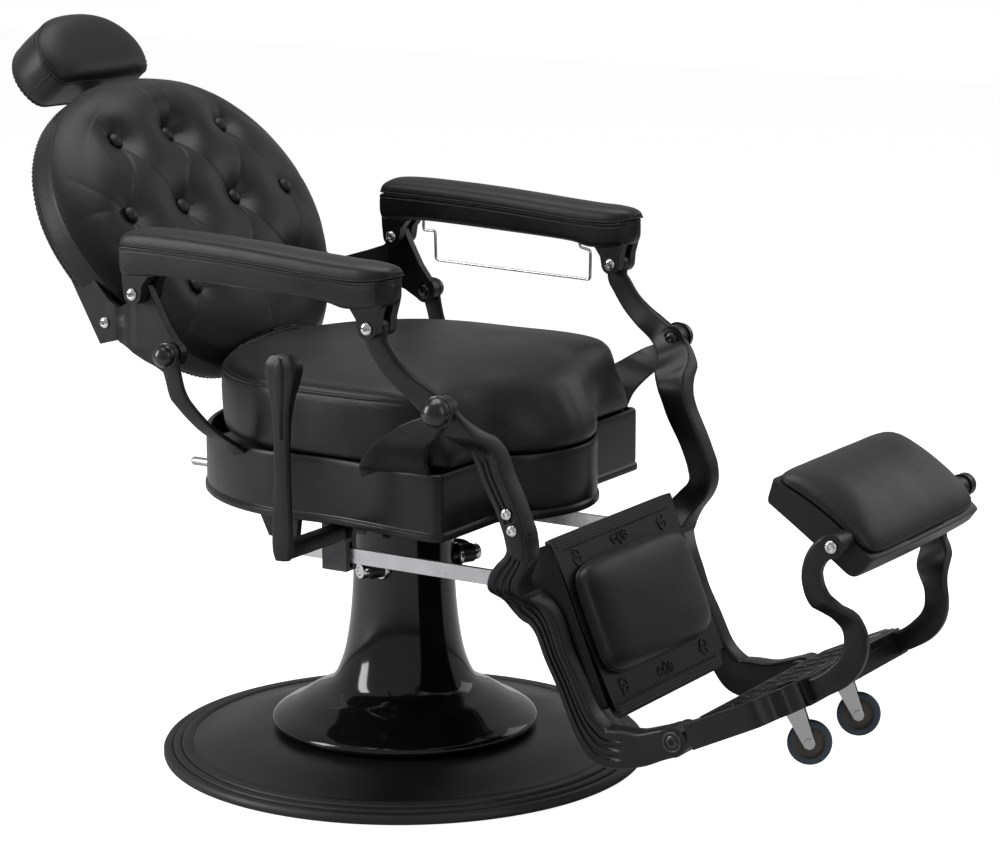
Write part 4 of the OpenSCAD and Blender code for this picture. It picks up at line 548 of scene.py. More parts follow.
def tufted(y, z, k):
    """Height of the buttoned cushion over its seam."""
    h = 50 * np.maximum(0, 1 - k ** 6) ** 0.8
    dip = 0 * y
    for by, bz, bn in buttons:
        r = np.hypot(y - by, z - bz)
        full_dip = 50 * (1 - math.hypot(by / 263, (bz - MID) / 223.5) ** 6) ** 0.8 - bn
        dip = dip + (full_dip * np.exp(-(np.maximum(0, r - 6) / 23) ** 1.25) + 1.0 * np.exp(-(r / 12) ** 2)) ** 3
    dip = dip ** (1 / 3)
    pl = 0 * y
    for a, b, bow, depth in pleats:
        pl = np.maximum(pl, crease(y, z, a, b, bow, depth))
    gather = sum(np.cos(9 * np.arctan2(z - bz, y - by) + by) * np.exp(-((np.hypot(y - by, z - bz) - 17) / 8) ** 2) for by, bz, _ in buttons)
    return h - (dip + pl) * np.minimum(1, (1 - k) * 7) + 0.12 * gather * np.minimum(1, (1 - k) * 5)


ks = np.concatenate([[1.0, 0.9993, 0.9975, 0.994, 0.989, 0.982, 0.974], np.linspace(0.965, 0.03, 110)])
c = np.array([0, MID])
rings = [on_back(np.column_stack([np.full(len(back_out), n), c[0] + back_out[:, 0] * k, c[1] + (back_out[:, 1] - c[1]) * k])) for n, k in ((0.4, 0.96), (0.4, 0.985))]
for k in ks:
    y, z = back_out[:, 0] * k, MID + (back_out[:, 1] - MID) * k
    w = np.clip((k - 0.86) / 0.08, 0, 1)
    n = np.maximum(tufted(y, z, np.hypot(y / 263, (z - MID) / 223.5) * (1 - w) + k * w), 0.5)
    rings.append(on_back(np.column_stack([n, y, z])))
v, f = loft(rings)
cushion = piece("back_cushion_tufted", v, f, hide, "back", "back_cushion", smooth=180)
# Covered buttons, each a low dome with a rolled rim.
parts = []
for by, bz, bn in buttons:
    v, f = lathe([[0, -3], [8.4, -3], [10.4, -0.6], [11, 1.6], [10.3, 3.4], [8.4, 5.0], [5.4, 6.3], [2.5, 6.9], [0, 7.0]], 32)
    a = math.radians(BACK_T)
    parts.append((onto(v, on_back(np.array([[bn + 1.2, by, bz]]))[0], (math.cos(a), 0, math.sin(a))), f))
v, f = join(*parts)
piece("back_buttons_covered", v, f, hide, "back", "back_buttons", smooth=60)
# Shell behind it: a boxing band with a piped seam at the front and a seam round the rear panel.
prof = [(0.2, 0.94), (0.2, 0.99), (-0.6, 0.9985), (-3, 1.0), (-8, 0.9985), (-20, 0.999), (-30, 0.998), (-36.2, 0.994), (-37.4, 0.989), (-38.6, 0.9915), (-41.5, 0.987), (-45, 0.974), (-46.8, 0.95), (-47, 0.9), (-47, 0.5), (-47, 0.1)]
rings = [on_back(np.column_stack([np.full(len(back_out), n), back_out[:, 0] * k, MID + (back_out[:, 1] - MID) * k])) for n, k in prof]
v, f = loft(rings)
a = math.radians(29.6)
pad_o = (BACK_C[0] + 22.5, BACK_C[1] - 87.8)
on_pad = tilt(pad_o, 29.6)
block = lambda s: (on_pad(np.array([[x, s * y, z] for x in (-14, 15) for y in (150, 241.8) for z in (-58, 40)])), [(0, 1, 3, 2), (4, 6, 7, 5), (0, 4, 5, 1), (2, 3, 7, 6), (0, 2, 6, 4), (1, 5, 7, 3)])
v, f = join((v, f), block(1), block(-1))
piece("back_shell_band", v, f, side_hide, "back", "back_shell", smooth=40)


def seam(path, r=1.6, n=8, closed=True):
    """Piping or a rolled seam along a closed or open path of 3-D points."""
    p = np.asarray(path, float)
    m = len(p)
    d = (np.roll(p, -1, 0) - np.roll(p, 1, 0)) if closed else np.gradient(p, axis=0)
    d /= np.linalg.norm(d, axis=1)[:, None]
    up = np.cross(d, [0.31, 0.87, 0.38])
    up /= np.linalg.norm(up, axis=1)[:, None]
    for i in range(1, m):
        up[i] = up[i - 1] - d[i] * (up[i - 1] @ d[i])
        up[i] /= np.linalg.norm(up[i])
    s = np.cross(d, up)
    t = np.linspace(0, 2 * math.pi, n, endpoint=False)
    v = (p[:, None] + r * (up[:, None] * np.cos(t)[None, :, None] + s[:, None] * np.sin(t)[None, :, None])).reshape(-1, 3)
    f = [(i * n + k, i * n + (k + 1) % n, (i + 1) % m * n + (k + 1) % n, (i + 1) % m * n + k) for i in range(m if closed else m - 1) for k in range(n)]
    if not closed:
        f += [tuple(range(n - 1, -1, -1)), tuple(range((m - 1) * n, m * n))]
    return v, f


def stitches(path, length=5.5, gap=2.0, r=0.42, closed=True):
    """A row of short raised stitches along a path."""
    p = np.asarray(path, float)
    p = np.vstack([p, p[:1]]) if closed else p
    s = np.concatenate([[0], np.cumsum(np.linalg.norm(np.diff(p, axis=0), axis=1))])
    at = lambda x: np.array([np.interp(x, s, p[:, i]) for i in range(3)])
    out_ = []
    for k in range(int(s[-1] / (length + gap))):
        a0, b0 = at(k * (length + gap)), at(k * (length + gap) + length)
        d = (b0 - a0) / np.linalg.norm(b0 - a0)
        up = np.cross(d, [0.3, 0.9, 0.3])
        up /= np.linalg.norm(up)
        w = np.cross(d, up)
        q = [a0] + [a0 + d * length * 0.3 + r * x for x in (up, w, -up, -w)] + [a0 + d * length * 0.7 + r * x for x in (up, w, -up, -w)] + [b0]
        out_.append((q, [(0, 2, 1), (0, 3, 2), (0, 4, 3), (0, 1, 4), (1, 2, 6, 5), (2, 3, 7, 6), (3, 4, 8, 7), (4, 1, 5, 8), (5, 6, 9), (6, 7, 9), (7, 8, 9), (8, 5, 9)]))
    return join(*out_)


ring_at = lambda n, k: on_back(np.column_stack([np.full(len(back_out), n), back_out[:, 0] * k, MID + (back_out[:, 1] - MID) * k]))
v, f = join(seam(ring_at(0.1, 0.9985), 1.1))
piece("back_piping", v, f, side_hide, "back", (), smooth=80)
v, f = join(stitches(ring_at(-32.4, 0.9985)), stitches(ring_at(-41.5, 0.989)))
piece("back_shell_stitches", v, f, thread, "back", (), smooth=60)
dress(paint, "back_bracket_right", "back_bracket_left", "headrest_guide")
dress(zinc, "headrest_bar")


def screw(r=7.5, h=4.2, n=32):
    """Domed screw head with a hexagon socket, on z = 0."""
    v, f = lathe([[0, 0.2], [r, 0.2], [r, h * 0.42], [r - 0.4, h * 0.6], [r - 2, h * 0.88], [r * 0.5, h], [r * 0.44, h], [r * 0.44, h * 0.45], [0, h * 0.45]], n)
    return v, f


def screws(places, axis_y, r=7.5, h=4.2):
    """Screw heads at [x, y, z] facing outward along Y."""
    v, f = screw(r, h)
    return join(*[(onto(v, p, (0, axis_y(p), 0)), f) for p in places])


places = [[*(on_pad(np.array([[x, s * 250, z]]))[0])] for s in (1, -1) for x, z in ((0, 50), (5, -37))]
v, f = screws(places, lambda p: np.sign(p[1]), 7.6, 3.8)
piece("back_screw_heads", v, f, chrome, "back", "back_screws", smooth=35)

# ---- headrest -------------------------------------------------------------
HEAD_T = BACK_T + 4.5
head_o = (BACK_C[0] - 144, BACK_C[1] + 175)
on_head = tilt(head_o, HEAD_T)
bean = [[0, -2], [21, -2], [40, -1.5], [64, -1], [84, 0], [98, 8], [106, 24], [108, 42], [102, 62], [88, 80], [66, 95], [36, 104], [0, 107]]
bean_out = even(loop(mirrored(bean), 8), 200)


def bean_ring(x, k, puff=0.0):
    """Ring of the headrest at depth x, drawn in towards its middle by k."""
    q = np.array([0, 53.5]) + (bean_out - [0, 53.5]) * k
    return on_head(np.column_stack([x + puff * np.cos(q[:, 0] * 0.03) * np.cos((q[:, 1] - 53) * 0.025), q]))


prof = [(-71, 0.1), (-71, 0.45), (-69.8, 0.72), (-67.5, 0.86), (-64.5, 0.93), (-61.5, 0.965), (-60.3, 0.958), (-59, 0.97), (-54, 0.99), (-44, 1.003), (-33, 1.008), (-20, 1.003), (-8, 0.996), (-4, 0.99), (-2.2, 0.984), (-1.6, 0.976), (-1.0, 0.981), (0.4, 0.98), (2.4, 0.968), (6.2, 0.93), (10, 0.865), (12.8, 0.77), (14.8, 0.64), (16, 0.48), (16.6, 0.3), (16.8, 0.1)]
v, f = loft([bean_ring(x, k) for x, k in prof])
headrest = piece("headrest_cushion_cover", v, f, hide, "headrest", "headrest_cushion", smooth=180)
# A raised cord on the front seam, and a cross seam on each side of the boxing.
i = int(np.argmin(np.hypot(bean_out[:, 0] - 104, bean_out[:, 1] - 18)))
cross = [np.array([bean_ring(x, k + 0.002)[j] for x, k in prof[6:17]]) for j in (i, int(np.argmin(np.hypot(bean_out[:, 0] + 104, bean_out[:, 1] - 18))))]
v, f = join(seam(bean_ring(-1.6, 0.984), 1.3), seam(bean_ring(-60.3, 0.966), 1.2), *[seam(q, 1.0, closed=False) for q in cross])
piece("headrest_piping", v, f, hide, "headrest", (), smooth=80)
v, f = join(stitches(bean_ring(1.8, 0.978)), stitches(bean_ring(-7, 0.9965)), stitches(bean_ring(-57, 0.989)), stitches(bean_ring(-62.6, 0.961)))
piece("headrest_stitches", v, f, thread, "headrest", (), smooth=60)

# ---- seat cushion ---------------------------------------------------------
RIM = 456
cush = lambda d, h=0: half_plan(d, 26 + 30 * roll(h), lambda x: 240, 207)


def roll(h):
    """How far the front has rolled over at height h above the apron, from 0 to 1."""
    t = min(1, max(0, (h - 8) / 107))
    return 1 - (1 - t ** 1.7) ** (1 / 1.7)


def rolled(q):
    """Front of the seat cushion taken back as it rises."""
    g = np.array([roll(z - RIM) for z in q[:, 2]])
    return q - np.outer(88 * g * np.maximum(0, (q[:, 0] - 150) / 131) ** 1.4, [1, 0, 0])


def behind(v):
    """The rear of the seat is hollowed so that the round back clears it as it reclines by 12 degrees more."""
    for more in (0, 4, 8, 12):
        a, b = math.radians(BACK_T + more), math.radians(more)
        back_n, back_u = np.array([math.cos(a), 0, math.sin(a)]), np.array([-math.sin(a), 0, math.cos(a)])
        x, z = BACK_C[0] - A[0], BACK_C[1] - A[1]
        d = v - [A[0] + x * math.cos(b) - z * math.sin(b), 0, A[1] + x * math.sin(b) + z * math.cos(b)]
        n, u = d @ back_n, d @ back_u
        k = np.hypot(v[:, 1] / 266, (u - MID) / 226)
        front = 50 * (1 - np.minimum(k, 1) ** 6) ** 0.8 + 5
        push = np.where((k < 1.1) & (n < front + 6), np.minimum(1, (1.1 - k) / 0.07), 0) * np.maximum(0, front + 2 - n)
        v = v + push[:, None] * back_n
    return v


noise.seed_set(5)        # the same swelling at every run


def soften(v, amount=0.8, scale=0.02):
    """Slow uneven swelling of a stuffed piece."""
    return np.array([p + amount * np.array(noise.noise_vector(Vector(p * scale))) for p in v])


def filled(q, h):
    """The hollow shoulders fill out and the front corners round off as the cushion rises."""
    far = 6.5 * min(1, max(0, (h - 4) / 50))
    if far == 0:
        return q
    k = np.arange(-30, 31)
    w = np.exp(-0.5 * (k / far) ** 2)
    mean = sum(a * np.roll(q, int(b), 0) for a, b in zip(w / w.sum(), k))
    return q + (mean - q) * np.clip((q[:, 0] - 105) / 45, 0, 1)[:, None]


prof = [(45, -15.7), (45, 0.4), (26, 0.6), (10, 1.2), (5, 3), (2, 7), (0, 13), (-1.2, 24), (-2, 40), (-2.3, 58), (-1.9, 72), (-1.3, 78.5), (-0.9, 81), (-0.5, 83), (0.1, 85.4), (1.4, 87.8), (4, 91)]
rings = []
for d, h in prof:
    q = filled(full(cush(d, h), RIM + h, 300), h)
    out_ = (q[:, :2] - [10, 0]) / np.linalg.norm(q[:, :2] - [10, 0], axis=1)[:, None]
    q[:, :2] -= out_ * (1.9 * math.exp(-((h - 83) / 2.4) ** 2) * np.clip((175 - q[:, 0]) / 30, 0, 1))[:, None]
    rings.append(q)
for k in np.concatenate([[0.985, 0.97, 0.95, 0.92], np.linspace(0.88, 0.03, 26)]):
    h = 91 + 24.5 * (1 - k ** 3.4) ** 0.62
    q = filled(full(cush(4, h), 0, 300), h)
    q[:, 0] = 10 + (q[:, 0] - 10) * k
    q[:, 1] *= k
    q[:, 2] = RIM + h
    rings.append(q)
v, f = loft([rolled(q) for q in rings])
# Faint drag lines run down the boxing from the seam, and the top swells unevenly.
ang = np.arctan2(v[:, 1], v[:, 0] - 10)
side_ = np.clip((v[:, 2] - RIM - 6) / 20, 0, 1) * np.clip((RIM + 80 - v[:, 2]) / 20, 0, 1)
drag = 0.45 * np.sin(ang * 31 + 3 * np.sin(ang * 7)) * side_
v[:, :2] += drag[:, None] * np.column_stack([np.cos(ang), np.sin(ang)])
v = behind(soften(v, 0.9, 0.014))
seat = piece("seat_cushion_boxed", v, f, hide, "seat", "seat_cushion", smooth=180)
# The welt runs round the sides and the rear; the front has none.
welt = rolled(filled(full(cush(0.6, 83.4), RIM + 83.4, 300), 83.4))
k0, k1 = [int(np.argmin(np.hypot(welt[:, 0] - 160, welt[:, 1] - y))) for y in (240, -240)]
line = welt[k0:k1].copy()
for i in range(12):
    line[[i, -1 - i], 1] -= np.sign(line[[i, -1 - i], 1]) * 5 * (1 - i / 12) ** 2
v, f = join(seam(behind(line), 2.3, 10, closed=False))
piece("seat_welt", v, f, side_hide, "seat", (), smooth=80)
v, f = join(stitches(behind(rolled(filled(full(cush(-1.6, 76.5), RIM + 76.5, 300), 76.5))[k0 + 6:k1 - 6]), closed=False))
piece("seat_stitches", v, f, thread, "seat", (), smooth=60)

# ---- armrests -------------------------------------------------------------
top_line = curve([[-222, 719.6], [-150, 718.5], [-57, 715.3], [54, 708.2], [130, 703.6], [168, 704.6], [193, 709.5]], 6)
low_line = curve([[-219, 680], [-188, 681.5], [-135, 684], [-20, 680], [92, 674.5], [130, 668], [182, 674], [194, 686], [198, 692]], 6)
plan = curve([[-220, 24], [-219, 26], [-208, 28.4], [-120, 29], [60, 29], [166, 28], [180, 22.5], [187, 16], [193, 6]], 6)


def casing(y0, s):
    """Cast armrest: rounded section that follows the top and bottom lines, with a fine bead under the pad."""
    rings = []
    for x in np.concatenate([[-219.8, -219, -217, -213], np.linspace(-206, 172, 54), [177, 182, 186, 189, 191.5, 193]]):
        z1, z0 = np.interp(x, top_line[:, 0], top_line[:, 1]), np.interp(x, low_line[:, 0], low_line[:, 1])
        w = np.interp(x, plan[:, 0], plan[:, 1])
        end = min(1, max(0.12, (x + 221) / 7)) * min(1, max(0.2, (196.5 - x) / 9))
        zm = (z1 + z0) / 2
        z0, z1 = zm - (zm - z0) * end ** 0.3, zm + (z1 - zm) * end ** 0.12
        r = min(9, (z1 - z0) * 0.4, w * 0.7)
        h = z1 - z0
        out_ = [(w - 0.9, z1), (w, z1 - 1), (w, z1 - 3.4), (w - 1.1, z1 - 4.3), (w - 1.1, z1 - 5.4), (w, z1 - 6.4), (w, z1 - h * 0.45)]
        out_ += [(w - r + r * math.cos(a), z0 + r - r * math.sin(a)) for a in np.linspace(0, math.pi / 2, 6)]
        sec = out_ + [(-a, b) for a, b in out_[::-1]]
        rings.append([[x, s * (y0 + a), b] for a, b in sec])
    return loft(rings)


def ears(p, s, pts):
    """The two ears of a clevis under the casing, round at the pin."""
    out_ = []
    for y in (ARM_Y - 23, ARM_Y + 8):
        q = [[p[0] + 14 * math.cos(a), p[1] + 14 * math.sin(a)] for a in np.linspace(math.pi * 1.02, math.pi * 1.98, 20)]
        out_.append(slab(q + [[p[0] + a, p[1] + b] for a, b in pts], s * y, s * (y + 15)))
    return out_


secs = [[-221, 720, 20, 0.25], [-218.5, 720, 24, 0.45], [-215, 720, 26.5, 0.62], [-208, 719.8, 28.4, 0.78], [-200, 719.6, 29.2, 0.88], [-180, 719.2, 29.8, 0.96], [-150, 718.5, 30, 1], [-100, 717, 30, 1], [-57, 715.3, 30, 1], [0, 712, 30, 1], [54, 708.2, 30, 1],
        [95, 705.2, 30, 1], [130, 703.6, 29.6, 0.98], [150, 703.8, 28.8, 0.95], [160, 704.2, 28, 0.9], [170, 705, 26.2, 0.82], [178, 706, 23.5, 0.72], [184, 707.4, 20, 0.58], [189, 708.8, 16, 0.4], [192, 709.3, 12.6, 0.24]]
sec = [[-0.96, 0.3], [-1.0, 1.5], [-1.005, 4], [-0.99, 9], [-0.95, 13.5], [-0.86, 17.5], [-0.72, 20.4], [-0.5, 22.4], [-0.25, 23.6], [0, 24]]
sec = sec + [[-a, b] for a, b in sec[-2::-1]]
q = curve([[a, b, c_, d] for a, b, c_, d in secs], 3)
for s, side in ((1, "left"), (-1, "right")):
    v, f = join(casing(ARM_Y, s), *ears(B, s, [(16, 12), (26, 24), (50, 30), (50, 38), (-17, 38), (-16, 16)]), *ears(C, s, [(15, 12), (20, 30), (20, 37), (-30, 37), (-26, 24), (-16, 10)]))
    piece("armrest_casing_" + side, v, f, paint, "armrest_" + side, "armrest_" + side, smooth=42, bevel=1.1, segments=2)
    rings = [[[x, s * (ARM_Y + a * w), z + 0.2 + (b if b < 2 else 1.5 + (b - 1.5) * k)] for a, b in sec] for x, z, w, k in q]
    v, f = loft([np.array(r_) for r_ in rings])
    v = soften(v, 0.35, 0.03)
    pad = piece("arm_pad_cover_" + side, v, f, hide, "armrest_" + side, "arm_pad_" + side, smooth=180, sub=1)
    # Rolled edge of the pad's cover where it meets the casing.
    rim = [[x, s * (ARM_Y + w * 1.0), z + 1.6] for x, z, w, k in q] + [[x, s * (ARM_Y - w * 1.0), z + 1.6] for x, z, w, k in q[::-1]]
    v, f = seam(np.array(rim), 1.3)
    piece("arm_pad_edge_" + side, v, f, side_hide, "armrest_" + side, (), smooth=80)
    parts = [disc(p, 5, s * (ARM_Y - 23), s * (ARM_Y + 23), 28) for p in (B, C)]
    for p in (B, C):
        for d in (1, -1):
            sv, sf = screw(8, 4)
            parts.append((onto(sv, (p[0], s * (ARM_Y + d * 23), p[1]), (0, s * d, 0)), sf))
    v, f = join(*parts)
    piece("rest_pin_heads_" + side, v, f, chrome, "armrest_" + side, "rest_pins_" + side, smooth=35)
# Towel bar: bright wire under the left armrest, with a small crank at each end.
y = ARM_Y - 23
v, f = tube([[-146, y, 685], [-146, y, 670.5], [-126, y, 671.5], [-125, y, 629.5], [129.5, y, 622.6], [130, y, 664], [113, y, 667], [113, y, 675]], 2, 14, 5)
piece("towel_bar_wire", v, f, chrome, "armrest_left", "towel_bar", smooth=60)

# ---- calf plate and pad ---------------------------------------------------
calf_o = (D[0] + 117.6, D[1] - 293)
on_calf = tilt(calf_o, 23)


def placed(place, vf):
    """Points of a piece in a slope's own frame, placed by it."""
    return place(np.asarray(vf[0], float)), vf[1]


def plate(half, x0, x1):
    """Flat plate with a mirrored outline of [across, up], from depth x0 to x1."""
    q = np.array(mirrored(half))
    n = len(q)
    v = [[x, a, b] for x in (x0, x1) for a, b in q]
    return np.array(v), [tuple(range(n)), tuple(range(2 * n - 1, n - 1, -1))] + [(k, (k + 1) % n, n + (k + 1) % n, n + k) for k in range(n)]


outline = curve([[0, 121], [120, 121], [150, 120.5], [157, 118], [156, 104], [155, 96], [152, 60], [151, 0], [146, -60], [142, -104], [139, -114], [132, -120], [120, -121], [0, -121]], 3)
base_slab = placed(on_calf, plate([list(p) for p in outline], -8, 0))
wings = []
for s in (1, -1):
    # Flared cheek from the plate's edge out to the arm beside it.
    rows_ = [[[-1, 155.5, z], [-6, 158.5, z], [-16, 161 + f_ * 8, z], [-27, 163.5 + f_ * 22, z], [-31, 164 + f_ * 30, z], [-34, 164 + f_ * 28, z], [-30, 160 + f_ * 22, z], [-18, 156 + f_ * 8, z], [-8, 151, z], [-5, 150, z]]
             for z, f_ in ((-100, 0), (-40, 0), (0, 0), (24, 0.04), (44, 0.2), (62, 0.42), (80, 0.66), (96, 0.85), (108, 0.95), (116, 1))]
    cv, cf = loft([[[a, s * b, c] for a, b, c in row] for row in rows_])
    wings.append((on_calf(cv), cf))
    q = [(132, -104), (164, -104), (164, 24), (146, 30), (141, 0)]
    v = np.array([[x, s * a, b] for x in (-27.8, -8.5) for a, b in q])
    n = len(q)
    wings.append((on_calf(v), [tuple(range(n)), tuple(range(2 * n - 1, n - 1, -1))] + [(k, (k + 1) % n, n + (k + 1) % n, n + k) for k in range(n)]))
v, f = join(base_slab, *wings)
piece("calf_plate_cast", v, f, steel_paint, "leg_rest", "calf_plate", smooth=42, bevel=1.4)
# Raised relief: a double bead round the field, a dotted line between, and plain scrolls in the corners.
r_rect = lambda w, h, c, r, e: [[c[0] + sx * (w - r) + r * math.cos(a), c[1] + sy * (h - r) + r * math.sin(a)]
                                for sx, sy, a0 in ((1, 1, 0), (-1, 1, 90), (-1, -1, 180), (1, -1, 270)) for a in np.radians(np.linspace(a0, a0 + 90, 7))]
lay = lambda pts, x: on_calf(np.column_stack([np.full(len(pts), x), np.asarray(pts, float)]))
beads = []
for s_ in (1, -1):
    for k, (a, b) in enumerate(((148, 116), (147, 112.4), (146, 108.8))):
        q = curve([[-a + 4 * (s_ < 0), s_ * b], [-60, s_ * b], [60, s_ * b], [a - 4 * (s_ < 0), s_ * b]], 8) * [1 - 0.05 * (s_ < 0), 1]
        beads.append(seam(lay(q, 0.0), 1.0, 7, closed=False))


def scroll(c, flip, up, size=1.0):
    """Plain spiral scroll as a path across the plate."""
    t = np.linspace(0, 2.6 * math.pi, 40)
    r = (2.0 + 11 * t / t[-1]) * size
    q = np.column_stack([c[0] + flip * r * np.cos(t), c[1] + up * r * np.sin(t)])
    tail = np.array([[q[-1, 0] + flip * a * size, q[-1, 1] + up * b * size] for a, b in ((0, -5), (4, -9), (11, -10), (18, -7))])
    return np.vstack([q, tail])


for sx in (1, -1):
    for c, up in (((112, 86), 1), ((108, -84), -1)):
        beads.append(seam(lay(scroll((sx * c[0], c[1]), -sx, up), 0.2), 1.3, 7, closed=False))
for c, up in (((0, 91), 1), ((0, -89), -1)):
    for sx in (1, -1):
        beads.append(seam(lay(scroll((sx * 13, c[1]), sx, up, 0.62), 0.2), 1.2, 7, closed=False))
        beads.append(seam(lay(curve([[0, c[1] - 9 * up], [sx * 5, c[1] - 1 * up], [sx * 3, c[1] + 6 * up], [0, c[1] + 9 * up]], 5), 0.2), 1.2, 7, closed=False))
v, f = lathe([[2.0, 0], [1.8, 0.7], [1.2, 1.2], [0, 1.4]], 8)
n_calf = (math.cos(math.radians(23)), 0, math.sin(math.radians(23)))
for b in (103, -103):
    for a in np.linspace(-134, 134, 40) * (1 if b > 0 else 0.95):
        beads.append((onto(v, lay([[a, b]], -0.1)[0], n_calf), f))
v, f = join(*beads)
piece("calf_plate_relief", v, f, steel_paint, "leg_rest", (), smooth=60)


def pillow(w, h, e, rows_, n=144):
    """Rings of a round-cornered pad: rows of [depth, share of the outline]."""
    t = np.linspace(0, 2 * math.pi, n, endpoint=False)
    sup = lambda a, x: np.sign(a) * np.abs(a) ** x
    base = np.column_stack([w * sup(np.cos(t), e), h * sup(np.sin(t), e)])
    return [np.column_stack([np.full(n, x), base * k]) for x, k in rows_]


rows_ = [(0.3, 0.985), (1.2, 1.0), (3, 1.006), (5.2, 1.0), (6.2, 0.99), (7.0, 0.992), (9.5, 0.984), (12.5, 0.965), (15.5, 0.93), (18.2, 0.87), (20.4, 0.78), (22, 0.66), (23.1, 0.5), (23.8, 0.32), (24.1, 0.12)]
rings = pillow(140, 74.6, 0.34, rows_)
v, f = loft([on_calf(r_ + [0, 0, 4]) for r_ in rings])
pad = piece("calf_pad_cover", soften(v, 0.5, 0.02), f, hide, "leg_rest", "calf_pad", smooth=180)
v, f = seam(on_calf(pillow(140, 74.6, 0.34, [(6.3, 0.994)])[0] + [0, 0, 4]), 1.2)
piece("calf_pad_seam", v, f, side_hide, "leg_rest", (), smooth=80)
places = [[D[0] + 65.6, s * 251.2, D[1] - 130] for s in (1, -1)] + [[D[0] + 73.6, s * 251.2, D[1] - 150] for s in (1, -1)]
v, f = screws(places, lambda p: np.sign(p[1]), 7.4, 3.8)
piece("splice_screw_heads", v, f, chrome, "leg_rest", "leg_screws", smooth=35)
parts = [disc(E, 5, s * 147, s * 191, 28) for s in (1, -1)]
sv, sf = lathe([[9.9, 0], [13.6, 0], [13.6, 4.4], [12.6, 5.6], [11, 5.6], [9.9, 4.6]], 48, True)
parts += [(onto(sv, (E[0], s * 191, E[1]), (0, s, 0)), sf) for s in (1, -1)]
sv, sf = lathe([[0, 0], [9.8, 0], [9.8, 3.6], [9.2, 4.4], [7, 5.4], [4.8, 5.5], [4.5, 5.2], [4.5, 2.5], [0, 2.5]], 6)
parts += [(onto(sv, (E[0], s * 191, E[1]), (0, s, 0)), sf) for s in (1, -1)]
v, f = join(*parts)
piece("foot_hinge_bolts", v, f, dark_steel, "leg_rest", (), smooth=30)

# ---- footrest -------------------------------------------------------------
on_foot = tilt(E, 26)     # x along the plate, z square to it


def foot_frame(v):
    """Maps [along the plate, across, square to it] to the frame."""
    a = math.radians(26)
    v = np.asarray(v, float)
    return np.array([E[0], 0, E[1]]) + np.outer(v[:, 0], [math.cos(a), 0, math.sin(a)]) + np.outer(v[:, 1], [0, 1, 0]) + np.outer(v[:, 2], [-math.sin(a), 0, math.cos(a)])


front_half = curve([[24.5, LOW], [60, LOW], [112, LOW], [124, LOW - 3], [132, LOW - 13], [138, LOW - 25], [145, LOW - 30], [152, LOW - 34], [158, LOW - 46], [164, LOW - 56], [172, LOW - 60], [172, 60], [172, 0]], 3)
half_in = [[a, b] for a, b in front_half]


def foot_slab(half, z0, z1, x0=24.5):
    """Plate with a front outline mirrored across, from z0 to z1 square to it."""
    q = np.array([p for p in half] + [[a, -b] for a, b in half[-2::-1]])
    n = len(q)
    v = np.array([[a, b, z] for z in (z0, z1) for a, b in q])
    return v, [tuple(range(n)), tuple(range(2 * n - 1, n - 1, -1))] + [(k, (k + 1) % n, n + (k + 1) % n, n + k) for k in range(n)]


def bar(p, q, w, z0, z1):
    """Straight bar on the plate from p to q, w wide."""
    p, q = np.array(p, float), np.array(q, float)
    d = (q - p) / np.linalg.norm(q - p)
    n = np.array([-d[1], d[0]]) * w / 2
    c = [p + n, q + n, q - n, p - n]
    v = np.array([[*a, z] for z in (z0, z1) for a in c])
    return v, [(3, 2, 1, 0), (4, 5, 6, 7), (0, 1, 5, 4), (1, 2, 6, 5), (2, 3, 7, 6), (3, 0, 4, 7)]


# A wall runs round under the deck and follows its scalloped front.
deck = foot_slab([[a, b - 6 if b > 100 else b] for a, b in half_in], 5.5, 14.6)
q = np.array([p for p in half_in if p[1] > 2] + [[a, -b] for a, b in half_in[::-1] if b > 2])
d = np.gradient(q, axis=0)
d /= np.linalg.norm(d, axis=1)[:, None]
ins = q + 11 * np.column_stack([d[:, 1], -d[:, 0]])
m = len(q)
wall = [(foot_frame(np.array([[*p, z] for z in (-17.5, 15.5) for p in np.vstack([q, ins[::-1]])])),
         [tuple(range(2 * m))[::-1], tuple(range(2 * m, 4 * m))] + [(k, (k + 1) % (2 * m), 2 * m + (k + 1) % (2 * m), 2 * m + k) for k in range(2 * m)])]
v, f = join(placed(foot_frame, deck), *wall,
            *[placed(foot_frame, bar((0, s * 156), (24.5, s * 156), 17, -14, 14)) for s in (1, -1)], *[disc(E, 17.5, s * 147.2, s * 164.4) for s in (1, -1)])
piece("footplate_cast", v, f, paint, "footrest", "footplate", smooth=42, bevel=1.2, segments=2)
# Tread relief: crossing bars with a raised lozenge in each field, inside a border.
marks = []
for i in range(9):
    y0 = -160 + i * 40
    for a, b in (((42, y0), (98, y0 + 40)), ((98, y0), (42, y0 + 40))):
        if abs(a[1]) <= 165 and abs(b[1]) <= 165:
            marks.append(bar(a, b, 4.2, 13.8, 16.4))
            marks.append(bar((a[0] + 56 + (4 if a[0] < 60 else -4) * 0, a[1]), (b[0] + 56, b[1]), 4.2, 13.8, 16.3) if abs(a[1]) < 125 and abs(b[1]) < 125 else bar(a, b, 4.0, 13.8, 16.2))
    if abs(y0 + 20) < 160:
        for x in (70, 126) if abs(y0 + 20) < 110 else (70,):
            marks.append((np.array([[x - 9, y0 + 20, 14.2], [x, y0 + 12, 14.2], [x + 9, y0 + 20, 14.2], [x, y0 + 28, 14.2], [x - 4, y0 + 20, 16.9], [x, y0 + 17, 16.9], [x + 4, y0 + 20, 16.9], [x, y0 + 23, 16.9]]),
                          [(0, 1, 5, 4), (1, 2, 6, 5), (2, 3, 7, 6), (3, 0, 4, 7), (4, 5, 6, 7)]))
